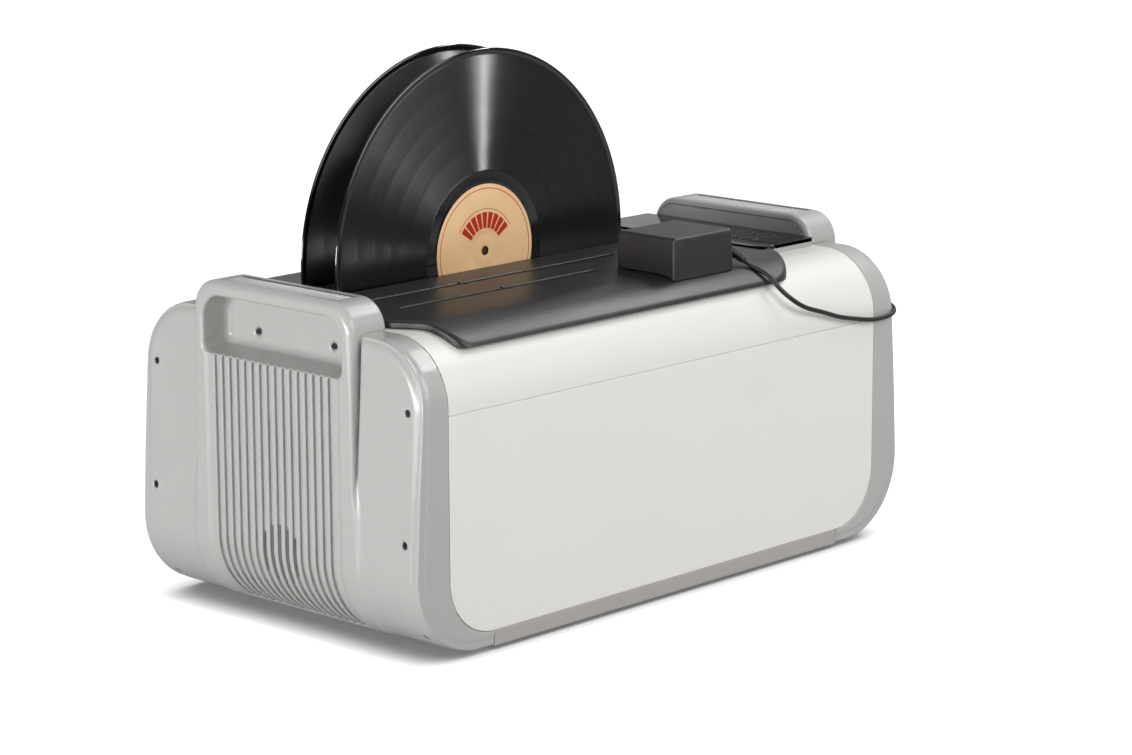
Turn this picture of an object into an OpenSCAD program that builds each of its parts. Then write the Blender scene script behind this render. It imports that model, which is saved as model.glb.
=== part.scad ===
// Record cleaning machine with a lift-off disc carrier over an ultrasonic bath.
// Millimetres, +Z up, +X along the machine, +Y towards its back.
// The origin is on the table, under the middle of the housing.

/* [Housing] */
// Length over the two end ridges
machine_len = 525; // [525:1:680]
// Depth from front panel to back panel
machine_depth = 286.6; // [262:0.1:360]
// Height of the housing's flat top above the table
body_top = 224; // [205:1:290]
// Radius of the long shoulders at front and back
shoulder_r = 47.3; // [35:0.1:55]
// Wall of the moulded covers
wall = 3; // [2:0.5:4]
// How far each end cap reaches beyond the covers
cap_reach = 32; // [28:0.5:40]
// Drop from the flat top to the seam between cover and panels
seam_drop = 51; // [50:1:60]
// Height of the base tray
base_h = 12; // [9:0.5:16]
// Radius of the panels' lower corners
panel_corner_r = 42.5; // [30:0.5:50]
// Height of the rubber feet
foot_h = 2.5; // [2:0.5:8]
// Radius of the rubber feet
foot_r = 12; // [8:1:16]
// How far the feet stand in from the ends of the base tray
foot_inset = 28; // [20:1:60]

/* [End caps] */
// Width of the middle ridge
ridge_w = 163; // [150:1:180]
// Rise of the handle above the flat top
handle_rise = 22; // [18:1:30]
// How far the handle reaches in over the cover
handle_lap = 3.5; // [2:0.5:5]
// Radius of the handle's upper corners
handle_r = 22; // [16:1:26]
// Rounding along the handle's edges
handle_edge = 5.5; // [3:0.5:7]
// How far the top of each side lobe lies behind the ridge face
lobe_drop_top = 8.3; // [6:0.1:11]
// How far the foot of each side lobe lies behind the ridge face
lobe_drop_foot = 1; // [0.5:0.1:3]
// Rounding along the outer edge of the side lobes
lobe_edge = 7; // [4:0.5:9]
// Rounding of the lobes beside the ridge
lobe_side_edge = 4; // [2:0.5:5]
// Radius of the curve that carries the ridge face under the machine
tuck_r = 60; // [54:0.5:72]
// How far each end cap reaches in under the housing
cap_foot = 75; // [73:0.5:85]
// Width of the finger recess
recess_w = 142; // [120:1:146]
// Height of the finger recess's ceiling above the flat top
recess_over = 11; // [8:1:13]
// Height of the finger recess from its lower front edge
recess_h = 42; // [34:1:46]
// Depth of the finger recess
recess_depth = 24; // [18:1:26]
// Radius of the recess's corners
recess_r = 17; // [10:1:20]
// How many grooves the grille has
groove_count = 17; // [9:2:19]
// Distance from groove to groove
groove_pitch = 7.1; // [6:0.1:7.3]
// Width of a groove
groove_w = 2.2; // [1.6:0.1:3]
// Depth of a groove
groove_d = 2.6; // [1.5:0.1:3]
// Height of the plain lip under the grille
grille_lip = 6; // [4:1:12]
// Distance between the fine grooves on top of the handle
grip_pitch = 4; // [3.5:0.5:5]

/* [Discs] */
// Radius of a twelve-inch disc
disc_r = 150.5; // [150:0.1:151]
// Where the twelve-inch discs stand along the machine
disc_x = -32.4; // [-36:0.1:-28]
// Height of the discs' spindle hole above the flat top
disc_rise = 18; // [14:1:24]
// Distance from slot to slot
slot_pitch = 35.9; // [34:0.1:38]
// Width of a slot
slot_w = 5; // [5:0.1:6]
// Radius of a ten-inch disc
ten_r = 125; // [124:0.1:126]
// Radius of a seven-inch disc
seven_r = 88; // [87:0.1:89]

/* [Carrier] */
// How far the carrier's lid stands out from the housing
lid_rise = 6; // [5:0.5:8]
// Wall of the lid
lid_wall = 3; // [2:0.5:3.5]
// How far the lid's front edge lies behind the housing's front
lid_edge = 11; // [9:0.5:16]
// Radius of a carrying roller at its groove
roller_r = 10; // [8:0.5:12]
// Radius of the shafts
shaft_r = 3; // [2.5:0.5:4]
// Thickness of the carrier's plates
plate_t = 3; // [2:0.5:3]
// Radius of the belt pulleys
pulley_r = 8; // [7:0.5:9]
// Width of the belt
belt_w = 4.5; // [4:0.5:5]
// Length of the motor box along the machine
box_len = 66; // [60:1:74]
// Depth of the motor box
box_depth = 58; // [54:1:62]
// Height of the motor box above the lid
box_h = 28; // [27:1:32]

/* [Bath] */
// Wall of the steel tank
tank_wall = 1.5; // [1:0.5:2]
// Room between the discs' lowest point and the tank's floor
tank_room = 13.5; // [10:0.5:18]
// Depth of the tank from front to back, inside
tank_depth = 178; // [172:1:186]
// Radius of the tank's upright corners
tank_corner = 20; // [12:1:30]
// Radius of a transducer
transducer_r = 22; // [18:1:25]
// Height of a transducer
transducer_h = 38; // [30:1:42]

/* [Touch panel] */
// Width of the touch panel along the machine
glass_len = 63; // [55:1:66]
// Depth of the touch panel
glass_depth = 173; // [150:1:174]
// Thickness of the touch panel's glass
glass_t = 3; // [2:0.5:4]

/* [Cord] */
// Diameter of the carrier's lead
cord_d = 3.6; // [3:0.1:4]
// Turns in the put-away coil
coil_turns = 5; // [3:1:8]

/* [Hidden] */
$fn = 64;

// Clearances: seat is a resting gap, run is the play of a turning shaft.
seat = 0.3;
run = 0.1;

half_len = machine_len / 2;
half_depth = machine_depth / 2;
cover_half = half_len - cap_reach;
shoulder_y = half_depth - shoulder_r;
shoulder_z = body_top - shoulder_r;
seam_z = body_top - seam_drop;
panel_z = foot_h + base_h;
tray_half = half_len - cap_foot;
tuck_x = half_len - tuck_r;
tuck_z = foot_h + tuck_r;
foot_x = tray_half - foot_inset;
foot_y = half_depth - foot_inset;

ridge_half = ridge_w / 2;
handle_top = body_top + handle_rise;
recess_top = body_top + recess_over;
recess_low = recess_top - recess_h;
recess_x = half_len - recess_depth;
lobe_top_x = half_len - lobe_drop_top;
lobe_foot_r = tuck_r - lobe_drop_foot;
// The lobes and the ridge meet on a core that lies this far behind the lobe faces.
core_in = 4;
cavity_in = core_in + wall;
// The cap's pieces reach this far inwards before the covers' space is cut away.
cap_in_x = tray_half - 20;
grip_count = floor((ridge_half - handle_r - 2) / grip_pitch);
// Facets round the cap's larger curves.
cap_fn = 44;
far = 400;

disc_z = body_top + disc_rise;
disc_t = 2;
spindle_r = 3.6;
label_r = 50;
label_t = 0.3;
slot_y = [for (i = [-1.5:1:1.5]) i * slot_pitch];
twelve_y = [slot_y[2], slot_y[3]];
ten_y = slot_y[1];
seven_y = slot_y[0];

// Each pair of rollers carries its disc at a resting gap.
twelve_reach = disc_r + roller_r + seat;
twelve_half = 92;
twelve_z = disc_z - sqrt(pow(twelve_reach, 2) - pow(twelve_half, 2));
ten_x = disc_x - 28;
ten_half = 87;
ten_centre_z = disc_z - 5.6;
ten_z = ten_centre_z - sqrt(pow(ten_r + roller_r + seat, 2) - pow(ten_half, 2));
seven_x = disc_x - 55;
seven_half = 69;
seven_centre_z = disc_z - 4.4;
seven_z = seven_centre_z - sqrt(pow(seven_r + roller_r + seat, 2) - pow(seven_half, 2));
roller_w = 9;
flange_r = roller_r + 3;
gutter_w = disc_t + 1.4;

plate_back_y = slot_y[3] + slot_pitch / 2 - 3;
plate_front_y = -plate_back_y;
plate_seven_y = (seven_y + ten_y) / 2;
plate_ten_y = (ten_y + twelve_y[0]) / 2;
plate_left = disc_x - 142;
plate_right = disc_x + 136;
plate_low = twelve_z - 15;
rod_low_z = twelve_z + 6;
rod_left_x = plate_left + 9;
rod_right_x = plate_right - 8;
rod_r = 3;

belt_y = plate_front_y - plate_t / 2 - 1.6 - belt_w / 2;
belt_t = 1.2;
motor_x = disc_x + 95.4;
motor_z = body_top + 19.3;
motor_r = 11;

box_x0 = motor_x - box_len / 2;
box_x1 = box_x0 + box_len;
box_y0 = belt_y - 42;
box_y1 = box_y0 + box_depth;
box_top = body_top + lid_rise + box_h;
box_wall = 2.5;
box_round = 4;
jack_y = box_y0 + 14;
jack_z = box_top - 15;
jack_r = 5;

lid_top = body_top + lid_rise;
lid_half_y = half_depth - lid_edge;
lid_left = -(cover_half - 4.5);
glass_x0 = cover_half - 4.5 - glass_len;
glass_x1 = glass_x0 + glass_len;
lid_right = glass_x0 - 1.5;
bezel_t = 4;

tank_half_x = disc_r + 9.5;
tank_half_y = tank_depth / 2;
tank_floor = disc_z - disc_r - tank_room;
tank_lip_z = body_top - wall;
tank_flange = min(8, shoulder_y - tank_half_y - seat);

end_plate_t = 1.5;
end_plate_x = cover_half - 3;
end_plate_low = tuck_z + seat
    - sqrt(pow(lobe_foot_r - cavity_in, 2) - pow(end_plate_x + end_plate_t - tuck_x, 2));
fan_size = 50;
fan_t = 15;
fan_y = -groove_pitch;
fan_z = body_top - 141.5;
fan_bore_r = 24;
// The open part of the grille, in front of the fan.
vent_low = fan_z - 41;
vent_h = 60;

// Screws of the end caps: [y, z] of the corners, of the foot, then of the recess.
corner_screw_y = half_depth - 13.6;
corner_screws = [
    [-corner_screw_y, body_top - 46.4],
    [corner_screw_y, body_top - 46.4],
    [-corner_screw_y, body_top - 137.5],
    [corner_screw_y, body_top - 137.5]
];
foot_screws = [[-corner_screw_y, foot_h + 15], [corner_screw_y, foot_h + 15]];
recess_screws = [[-39, body_top - 15.6], [39, body_top - 15.6]];
cap_boss_r = 5;
// The end plates reach the foot screws with bent tabs that pass over the caps' bosses.
tab_x = tuck_x + 3;
tab_z = foot_screws[0][1] + cap_boss_r + 1;
tab_w = 16;
screw_head_r = 3.3;
screw_r = 1.9;

// Rear fittings, all set back inside the depth of the housing.
valve_x = -(tray_half - 22);
valve_z = panel_z + 36;
valve_pocket = 56;
drain_x = valve_x + 12 + 8;
drain_y = tank_half_y - 24;
service_x = tray_half - 55;
service_z = panel_z + 40;
service_w = 92;
service_h = 44;
pocket_d = 24;
service_d = 6;

// Lays a flat outline drawn in Y and Z out along X.
module along_x(x0, x1) {
    translate([x0, 0, 0])
        rotate([90, 0, 90])
            linear_extrude(x1 - x0)
                children();
}

// Lays a flat outline drawn in X and Z out along Y.
module along_y(y0, y1) {
    translate([0, y1, 0])
        rotate([90, 0, 0])
            linear_extrude(y1 - y0)
                children();
}

// Lays a flat outline drawn in X and Y out along Z.
module along_z(z0, z1) {
    translate([0, 0, z0])
        linear_extrude(z1 - z0)
            children();
}

// A round bar along X, Y or Z.
module bar_x(x0, x1, y, z, r) {
    translate([x0, y, z])
        rotate([0, 90, 0])
            cylinder(r = r, h = x1 - x0);
}

module bar_y(y0, y1, x, z, r) {
    translate([x, y0, z])
        rotate([-90, 0, 0])
            cylinder(r = r, h = y1 - y0);
}

// What a rounded corner takes away from a square one, with its centre at the origin.
module corner_cut(r) {
    difference() {
        square([r + 1, r + 1]);
        circle(r);
    }
}

// A rectangle with four round corners.
module rounded_rect(w, h, r) {
    difference() {
        square([w, h], center = true);
        for (sx = [0, 1])
            for (sy = [0, 1])
                mirror([sx, 0])
                    mirror([0, sy])
                        translate([w / 2 - r, h / 2 - r])
                            corner_cut(r);
    }
}

// The housing's section in Y and Z, grown by d, from the height low upwards.
module section(d, low) {
    difference() {
        translate([-half_depth - d, low])
            square([machine_depth + 2 * d, body_top + d - low]);
        for (s = [0, 1])
            mirror([s, 0])
                translate([shoulder_y, shoulder_z])
                    corner_cut(shoulder_r + d);
    }
}

// The outline of the front and back panels in X and Z.
module panel_outline() {
    difference() {
        translate([-cover_half, panel_z])
            square([2 * cover_half, seam_z - panel_z]);
        for (s = [0, 1])
            mirror([s, 0])
                translate([cover_half - panel_corner_r, panel_z + panel_corner_r])
                    mirror([0, 1])
                        corner_cut(panel_corner_r);
    }
}

// Base tray with its feet

module base_tray() {
    color("silver")
        difference() {
            translate([-tray_half, -half_depth, foot_h])
                cube([2 * tray_half, machine_depth, base_h]);
            translate([-tray_half + wall, -half_depth + wall, foot_h + wall])
                cube([2 * (tray_half - wall), machine_depth - 2 * wall, base_h]);
            for (i = [-5:5])
                translate([i * 14 - 1.5, -30, foot_h - 1])
                    cube([3, 60, wall + 2]);
        }
}

module foot(sx, sy) {
    color("dimgray")
        translate([sx * foot_x, sy * foot_y, 0])
            difference() {
                cylinder(r = foot_r, h = foot_h);
                translate([0, 0, -1])
                    cylinder(r = 3, h = 2.5);
            }
}

// Covers and panels

module front_panel() {
    color("ivory")
        along_y(-half_depth, -half_depth + wall)
            panel_outline();
}

// The back panel holds a pocket for the drain valve and a shallow one for the mains fittings.
module back_panel() {
    color("ivory")
        difference() {
            union() {
                along_y(half_depth - wall, half_depth)
                    panel_outline();
                translate([valve_x - valve_pocket / 2 - 2, half_depth - pocket_d - 2,
                    valve_z - valve_pocket / 2 - 2])
                    cube([valve_pocket + 4, pocket_d, valve_pocket + 4]);
                translate([service_x - service_w / 2 - 2, half_depth - service_d - 2,
                    service_z - service_h / 2 - 2])
                    cube([service_w + 4, service_d, service_h + 4]);
            }
            translate([valve_x - valve_pocket / 2, half_depth - pocket_d, valve_z - valve_pocket / 2])
                cube([valve_pocket, pocket_d + 1, valve_pocket]);
            translate([service_x - service_w / 2, half_depth - service_d, service_z - service_h / 2])
                cube([service_w, service_d + 1, service_h]);
            bar_y(half_depth - pocket_d - 3, half_depth, valve_x - 12, valve_z, 7);
            bar_y(half_depth - pocket_d - 3, half_depth, valve_x + 12, valve_z, 4);
            translate([service_x - 16 - 24, half_depth - service_d - 3, service_z - 14])
                cube([48, service_d, 28]);
            translate([service_x + 28 - 9, half_depth - service_d - 3, service_z - 14])
                cube([18, service_d, 28]);
            for (i = [0:7])
                translate([-60 + i * 9, half_depth - wall - 1, seam_z - 50])
                    cube([3.5, wall + 2, 30]);
        }
}

module top_cover() {
    color("ivory")
        difference() {
            along_x(-cover_half, cover_half)
                section(0, seam_z);
            along_x(-cover_half - 1, cover_half + 1)
                section(-wall, seam_z - 1);
            translate([disc_x, 0, 0])
                along_z(body_top - wall - 1, body_top + 1)
                    rounded_rect(2 * tank_half_x, tank_depth, tank_corner);
        }
}

// End caps, drawn at the right end

// Profile of a disc of radius r and height h whose upper rim is rounded by f.
function rim_profile(r, h, f) = concat(
    [[0, 0], [r, 0]],
    [for (a = [0:22.5:90]) [r - f + f * cos(a), h - f + f * sin(a)]],
    [[0, h]]
);

// Profile of a drum whose two rims are rounded by f0 and f1.
function drum_profile(r, h, f0, f1) = concat(
    [[0, 0]],
    [for (a = [-90:22.5:0]) [r - f0 + f0 * cos(a), f0 + f0 * sin(a)]],
    [for (a = [0:22.5:90]) [r - f1 + f1 * cos(a), h - f1 + f1 * sin(a)]],
    [[0, h]]
);

// A quarter of a round-rimmed disc, filling the back shoulder up to the face at x1.
module shoulder_quarter(r, x1, f) {
    translate([cap_in_x, shoulder_y, shoulder_z])
        rotate([90, 0, 90])
            rotate_extrude(angle = 90, $fn = cap_fn)
                polygon(rim_profile(r, x1 - cap_in_x, f));
}

// The drum along Y whose lower quarter carries the face under the machine.
module tuck_drum(r, y0, y1, f0, f1) {
    for (x = [tray_half - 1, tuck_x])
        translate([x, y0, tuck_z])
            rotate([-90, 0, 0])
                rotate_extrude($fn = cap_fn)
                    polygon(drum_profile(r, y1 - y0, f0, f1));
}

// The back lobe of the cap.
module lobe() {
    start_y = ridge_half + 1;
    e = lobe_side_edge;
    hull() {
        shoulder_quarter(shoulder_r, lobe_top_x, lobe_edge);
        translate([lobe_top_x - e, start_y + e, body_top - e])
            sphere(e, $fn = 20);
        bar_x(cap_in_x, lobe_top_x - e, start_y + e, body_top - e, e, $fn = 20);
        tuck_drum(lobe_foot_r, start_y, half_depth, e, lobe_edge);
    }
}

// The core that joins the lobes and the ridge, d behind the lobe faces and w inside the section.
module cap_core(d, w) {
    hull() {
        for (s = [0, 1])
            mirror([0, s, 0])
                shoulder_quarter(shoulder_r - w, lobe_top_x - d, 1);
        tuck_drum(lobe_foot_r - d, -half_depth + w, half_depth - w, 1, 1);
    }
}

// The middle ridge, which rises above the cover as a carrying handle.
module ridge() {
    y = ridge_half - handle_r;
    hull() {
        for (s = [-1, 1])
            translate([cover_half - handle_lap, s * y, handle_top - handle_r])
                rotate([90, 0, 90])
                    rotate_extrude($fn = cap_fn)
                        polygon(drum_profile(handle_r, cap_reach + handle_lap, handle_edge, handle_edge));
        tuck_drum(tuck_r, -ridge_half, ridge_half, 3, 3);
    }
}

// The finger recess, grown by d, with a floor that slopes down towards the grille.
module recess(d) {
    w = recess_w + 2 * d;
    r = recess_r + d;
    intersection() {
        hull()
            for (s = [-1, 1]) {
                bar_x(cap_in_x, half_len + 5, s * (w / 2 - r), recess_top + d - r, r, $fn = 40);
                bar_x(cap_in_x, half_len + 5, s * (w / 2 - 6), recess_low - d, 6, $fn = 24);
            }
        along_y(-far, far)
            polygon([
                [recess_x - d, recess_low + 5 - d],
                [recess_x - d, recess_top + 10],
                [half_len + 5, recess_top + 10],
                [half_len + 5, recess_low - d - 1],
                [half_len, recess_low - d]
            ]);
    }
}

// One groove's outline in X and Z: the space outside the ridge face, sunk by depth.
module groove_outline(depth) {
    difference() {
        translate([tuck_x - 40, foot_h + grille_lip])
            square([tuck_r + 60, recess_low - foot_h - grille_lip]);
        translate([tuck_x, tuck_z])
            circle(tuck_r - depth, $fn = cap_fn);
        translate([tuck_x - 60, tuck_z])
            square([60 + tuck_r - depth, recess_low - tuck_z + 1]);
        translate([tuck_x - 60, foot_h - 1])
            square([60, tuck_z]);
    }
}

module grille_grooves() {
    middle = (groove_count - 1) / 2;
    for (i = [0:groove_count - 1]) {
        y = (i - middle) * groove_pitch;
        along_y(y - groove_w / 2, y + groove_w / 2)
            groove_outline(groove_d);
    }
    // Five of the grooves near the foot are open right through.
    for (i = [-3:1])
        along_y(i * groove_pitch - groove_w / 2 + 0.2, i * groove_pitch + groove_w / 2 - 0.2)
            intersection() {
                groove_outline(cavity_in + groove_d + 4);
                translate([tuck_x, vent_low + 4 * abs(i + 1)])
                    square([tuck_r + 20, vent_h - 8 * abs(i + 1)]);
            }
}

// The space that the covers and the tray fill, in X and Z.
module covers_space() {
    translate([-far, body_top - 1])
        square([far + cover_half - handle_lap, far]);
    translate([-far, panel_z + panel_corner_r])
        square([far + cover_half, body_top - panel_z - panel_corner_r]);
    translate([-far, foot_h - 1])
        square([far + tray_half, panel_corner_r + base_h + 2]);
    difference() {
        translate([-far, panel_z])
            square([far + cover_half, panel_corner_r + 1]);
        translate([cover_half - panel_corner_r, panel_z + panel_corner_r])
            mirror([0, 1])
                corner_cut(panel_corner_r);
    }
}

module cap_bosses(r) {
    for (p = corner_screws)
        bar_x(end_plate_x + end_plate_t + seat, lobe_face_x(p[1]) - core_in, p[0], p[1], r, $fn = 20);
    for (p = foot_screws)
        bar_x(tab_x + end_plate_t + seat, lobe_face_x(p[1]) - cavity_in, p[0], p[1], r, $fn = 20);
}

module end_cap() {
    difference() {
        union() {
            difference() {
                union() {
                    for (s = [0, 1])
                        mirror([0, s, 0])
                            lobe();
                    cap_core(core_in, 0.6);
                    ridge();
                }
                along_y(-far, far)
                    covers_space();
                difference() {
                    cap_core(cavity_in, wall);
                    recess(wall);
                }
            }
            cap_bosses(cap_boss_r);
        }
        recess(0);
        grille_grooves();
        for (p = concat(corner_screws, foot_screws)) {
            bar_x(cap_in_x, half_len, p[0], p[1], screw_r + 0.4, $fn = 20);
            bar_x(screw_seat_x(p[1]), half_len, p[0], p[1], screw_head_r + 0.5, $fn = 20);
        }
        for (p = recess_screws) {
            bar_x(cap_in_x, half_len, p[0], p[1], screw_r + 0.4, $fn = 20);
            bar_x(recess_x - 1.9, half_len, p[0], p[1], screw_head_r + 0.5, $fn = 20);
        }
        // Fine cross grooves that roughen the top of the handle.
        for (i = [-grip_count:grip_count])
            translate([cover_half - handle_lap + 8, i * grip_pitch - 0.7, handle_top - 0.5])
                cube([20, 1.4, 2]);
    }
}

// How far out the lobe face lies at height z: it leans, and curves in below the tuck's centre.
function lobe_face_x(z) =
    let (share = (body_top - lobe_edge - z) / (body_top - lobe_edge - tuck_z))
    z < tuck_z
        ? tuck_x + sqrt(pow(lobe_foot_r, 2) - pow(tuck_z - z, 2))
        : lobe_top_x + (tuck_x + lobe_foot_r - lobe_top_x) * max(0, share);

// Where a cap screw's head sits; on the curved foot it sinks in deeper.
function screw_seat_x(z) = lobe_face_x(max(foot_h + 2, z < tuck_z ? z - screw_head_r : z)) - 2.6;

// A screw along X whose head's outer face is at x1.
module cap_screw(x1, y, z, x0) {
    difference() {
        union() {
            bar_x(x1 - 2.2, x1, y, z, screw_head_r);
            bar_x(x0, x1 - 2.1, y, z, screw_r);
        }
        translate([x1 - 1.2, y - 0.6, z - 2])
            cube([2, 1.2, 4]);
        translate([x1 - 1.2, y - 2, z - 0.6])
            cube([2, 4, 1.2]);
    }
}

module cap_screws() {
    color("dimgray") {
        for (p = corner_screws)
            cap_screw(screw_seat_x(p[1]) + 2.3, p[0], p[1], end_plate_x - 4);
        for (p = foot_screws)
            cap_screw(screw_seat_x(p[1]) + 2.3, p[0], p[1], tab_x - 4);
        for (p = recess_screws)
            cap_screw(recess_x + 0.6, p[0], p[1], end_plate_x - 4);
    }
}

// The steel plate that closes each end of the housing under its cap.
module end_plate(with_fan) {
    color("lightsteelblue")
        difference() {
            union() {
                along_x(end_plate_x, end_plate_x + end_plate_t)
                    section(-wall - seat, end_plate_low);
                for (p = foot_screws) {
                    translate([tab_x, p[0] - tab_w / 2, tab_z])
                        cube([end_plate_x + 1 - tab_x, tab_w, end_plate_t]);
                    translate([tab_x, p[0] - tab_w / 2, p[1] - 4])
                        cube([end_plate_t, tab_w, tab_z + 1 - p[1] + 4]);
                }
            }
            for (p = foot_screws) {
                bar_x(tab_x - 1, tab_x + end_plate_t + 1, p[0], p[1], screw_r + 0.3);
                bar_x(end_plate_x - 1, end_plate_x + end_plate_t + 1, p[0], p[1], cap_boss_r + seat);
            }
            for (p = concat(corner_screws, recess_screws))
                bar_x(end_plate_x - 1, end_plate_x + end_plate_t + 1, p[0], p[1], screw_r + 0.3);
            if (with_fan)
                bar_x(end_plate_x - 1, end_plate_x + end_plate_t + 1, fan_y, fan_z, fan_bore_r);
        }
}

// Bath

module tank_space(grow, z0, z1) {
    translate([disc_x, 0, 0])
        along_z(z0, z1)
            rounded_rect(2 * (tank_half_x + grow), tank_depth + 2 * grow, tank_corner + grow);
}

module tank() {
    color("lightgray")
        difference() {
            union() {
                tank_space(tank_wall, tank_floor - tank_wall, tank_lip_z);
                tank_space(tank_flange, tank_lip_z - tank_wall, tank_lip_z);
            }
            tank_space(0, tank_floor, tank_lip_z + 1);
            translate([drain_x, drain_y, tank_floor - 5])
                cylinder(r = 6, h = 10);
        }
}

module transducers() {
    color("darkgray")
        for (i = [-1:1])
            for (s = [-1, 1])
                translate([disc_x + i * 86, s * 42 - 8, tank_floor - tank_wall - transducer_h])
                    difference() {
                        union() {
                            cylinder(r = transducer_r * 0.72, h = transducer_h - 12);
                            translate([0, 0, transducer_h - 13])
                                cylinder(r1 = transducer_r * 0.72, r2 = transducer_r, h = 13);
                        }
                        translate([0, 0, -1])
                            cylinder(r = 4, h = 9);
                    }
}

module tank_heater() {
    color("orange")
        translate([disc_x - 100, -tank_half_y - tank_wall - 3, tank_floor + 20])
            cube([200, 3, 60]);
}

// The drain leads from the tank's floor to a nipple in the back panel's pocket.
module drain_valve() {
    floor_y = half_depth - pocket_d;
    color("gray")
        difference() {
            union() {
                translate([drain_x, drain_y, valve_z - 9])
                    cylinder(r = 8, h = tank_floor - tank_wall - valve_z + 9);
                bar_y(drain_y, floor_y - 6, drain_x, valve_z, 8);
                translate([valve_x - 24, floor_y - 22, valve_z - 10])
                    cube([drain_x - valve_x + 32, 20, 20]);
                bar_y(floor_y - 3, half_depth - 3, valve_x - 12, valve_z, 6);
                bar_y(floor_y - 3, floor_y + 1, valve_x + 12, valve_z, 3.8);
            }
            bar_y(floor_y - 14, half_depth, valve_x - 12, valve_z, 4);
            bar_y(floor_y - 8, floor_y + 2, valve_x + 12, valve_z, 2.5 + run);
            translate([drain_x, drain_y, valve_z])
                cylinder(r = 5.5, h = 40);
        }
}

// A winged knob that opens the drain by a quarter turn.
module drain_knob() {
    floor_y = half_depth - pocket_d;
    color("firebrick") {
        bar_y(floor_y - 7, floor_y + 3, valve_x + 12, valve_z, 2.5);
        difference() {
            bar_y(floor_y + 2, floor_y + 16, valve_x + 12, valve_z, 7);
            bar_y(floor_y + 13, floor_y + 17, valve_x + 12, valve_z, 4);
        }
        translate([valve_x + 12 - 2.5, floor_y + 6, valve_z - 11])
            cube([5, 8, 22]);
    }
}

// Touch panel and boards

// The panel's outline: round corners towards the carrier, small ones at the handle.
module glass_outline(d) {
    difference() {
        translate([glass_x0 - d, -glass_depth / 2 - d])
            square([glass_len + 2 * d, glass_depth + 2 * d]);
        for (s = [0, 1])
            mirror([0, s]) {
                translate([glass_x0 + 16, glass_depth / 2 - 16])
                    mirror([1, 0])
                        corner_cut(16 + d);
                if (d > -2)
                    translate([glass_x1 - 3, glass_depth / 2 - 3])
                        corner_cut(3 + d);
            }
    }
}

module panel_bezel() {
    color("silver")
        difference() {
            along_z(body_top, body_top + bezel_t)
                glass_outline(-0.6);
            along_z(body_top + 1.5, body_top + bezel_t + 1)
                glass_outline(-4);
        }
}

module touch_glass() {
    color("black")
        along_z(body_top + bezel_t, body_top + bezel_t + glass_t)
            glass_outline(0);
}

module control_board() {
    z = body_top - wall - 12;
    color("seagreen") {
        translate([glass_x0 + 6, -glass_depth / 2 + 8, z])
            cube([glass_len - 12, glass_depth - 16, 1.6]);
        for (x = [glass_x0 + 12, glass_x1 - 12])
            for (s = [-1, 1])
                translate([x, s * (glass_depth / 2 - 14), z + 1.5])
                    cylinder(r = 3, h = body_top - wall - z - 1.5, $fn = 24);
        for (i = [-2:2])
            translate([glass_x0 + 20, i * 24 - 6, z + 1.5])
                cube([14, 12, 3]);
    }
}

module generator_board() {
    x0 = tray_half - wall - 52;
    z = foot_h + wall + 8;
    color("darkgreen") {
        translate([x0, -80, z])
            cube([48, 150, 1.6]);
        for (x = [x0 + 5, x0 + 43])
            for (y = [-75, 65])
                translate([x, y, foot_h + wall])
                    cylinder(r = 3, h = z - foot_h - wall + 0.5, $fn = 24);
        translate([x0 + 6, -70, z + 1.5])
            cube([36, 40, 34]);
        translate([x0 + 16, -2, z + 1.5])
            cylinder(r = 12, h = 34);
        translate([x0 + 16, 28, z + 1.5])
            cylinder(r = 12, h = 34);
        for (i = [0:4])
            translate([x0 + 34, -14 + i * 12, z + 1.5])
                cube([6, 3, 30]);
    }
}

// Fan behind the left grille's open grooves

module fan_frame() {
    x0 = -end_plate_x;
    color("dimgray") {
        difference() {
            translate([x0, fan_y - fan_size / 2, fan_z - fan_size / 2])
                cube([fan_t, fan_size, fan_size]);
            bar_x(x0 - 1, x0 + fan_t + 1, fan_y, fan_z, fan_bore_r - 0.5);
            for (sy = [-1, 1])
                for (sz = [-1, 1])
                    bar_x(x0 - 1, x0 + fan_t + 1, fan_y + sy * 21.5, fan_z + sz * 21.5, 1.8);
        }
        for (a = [0, 120, 240])
            translate([x0 + fan_t - 2, fan_y, fan_z])
                rotate([a, 0, 0])
                    translate([0, 8, -1.5])
                        cube([1.8, fan_bore_r - 8.2, 3]);
        difference() {
            bar_x(x0 + fan_t - 4, x0 + fan_t, fan_y, fan_z, 9);
            bar_x(x0 + fan_t - 5, x0 + fan_t - 2, fan_y, fan_z, 1.5 + run);
        }
    }
}

module fan_rotor() {
    x0 = -end_plate_x;
    color("black") {
        bar_x(x0 + 2, x0 + fan_t - 4 - seat, fan_y, fan_z, 9);
        bar_x(x0 + 3, x0 + fan_t - 2.5, fan_y, fan_z, 1.5);
        for (a = [0:360 / 7:359])
            translate([x0 + 6.5, fan_y, fan_z])
                rotate([a, 0, 0])
                    translate([0, 8, 0])
                        rotate([0, 35, 0])
                            translate([-0.6, 0, -5])
                                cube([1.2, 13.5, 10]);
    }
}

// Mains inlet and switch in the shallow rear pocket

module power_inlet() {
    floor_y = half_depth - service_d;
    color("black")
        difference() {
            union() {
                translate([service_x - 16 - 27, floor_y, service_z - 16])
                    cube([54, 2.5, 32]);
                translate([service_x - 16 - 23.5, floor_y - 22, service_z - 13.5])
                    cube([47, 23, 27]);
            }
            translate([service_x - 16 - 14, floor_y - 14, service_z - 9])
                cube([28, 20, 18]);
        }
    color("silver")
        for (i = [-1:1])
            translate([service_x - 16 + i * 7 - 0.8, floor_y - 15, service_z + (i == 0 ? 1 : -4)])
                cube([1.6, 12, 4]);
}

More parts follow.
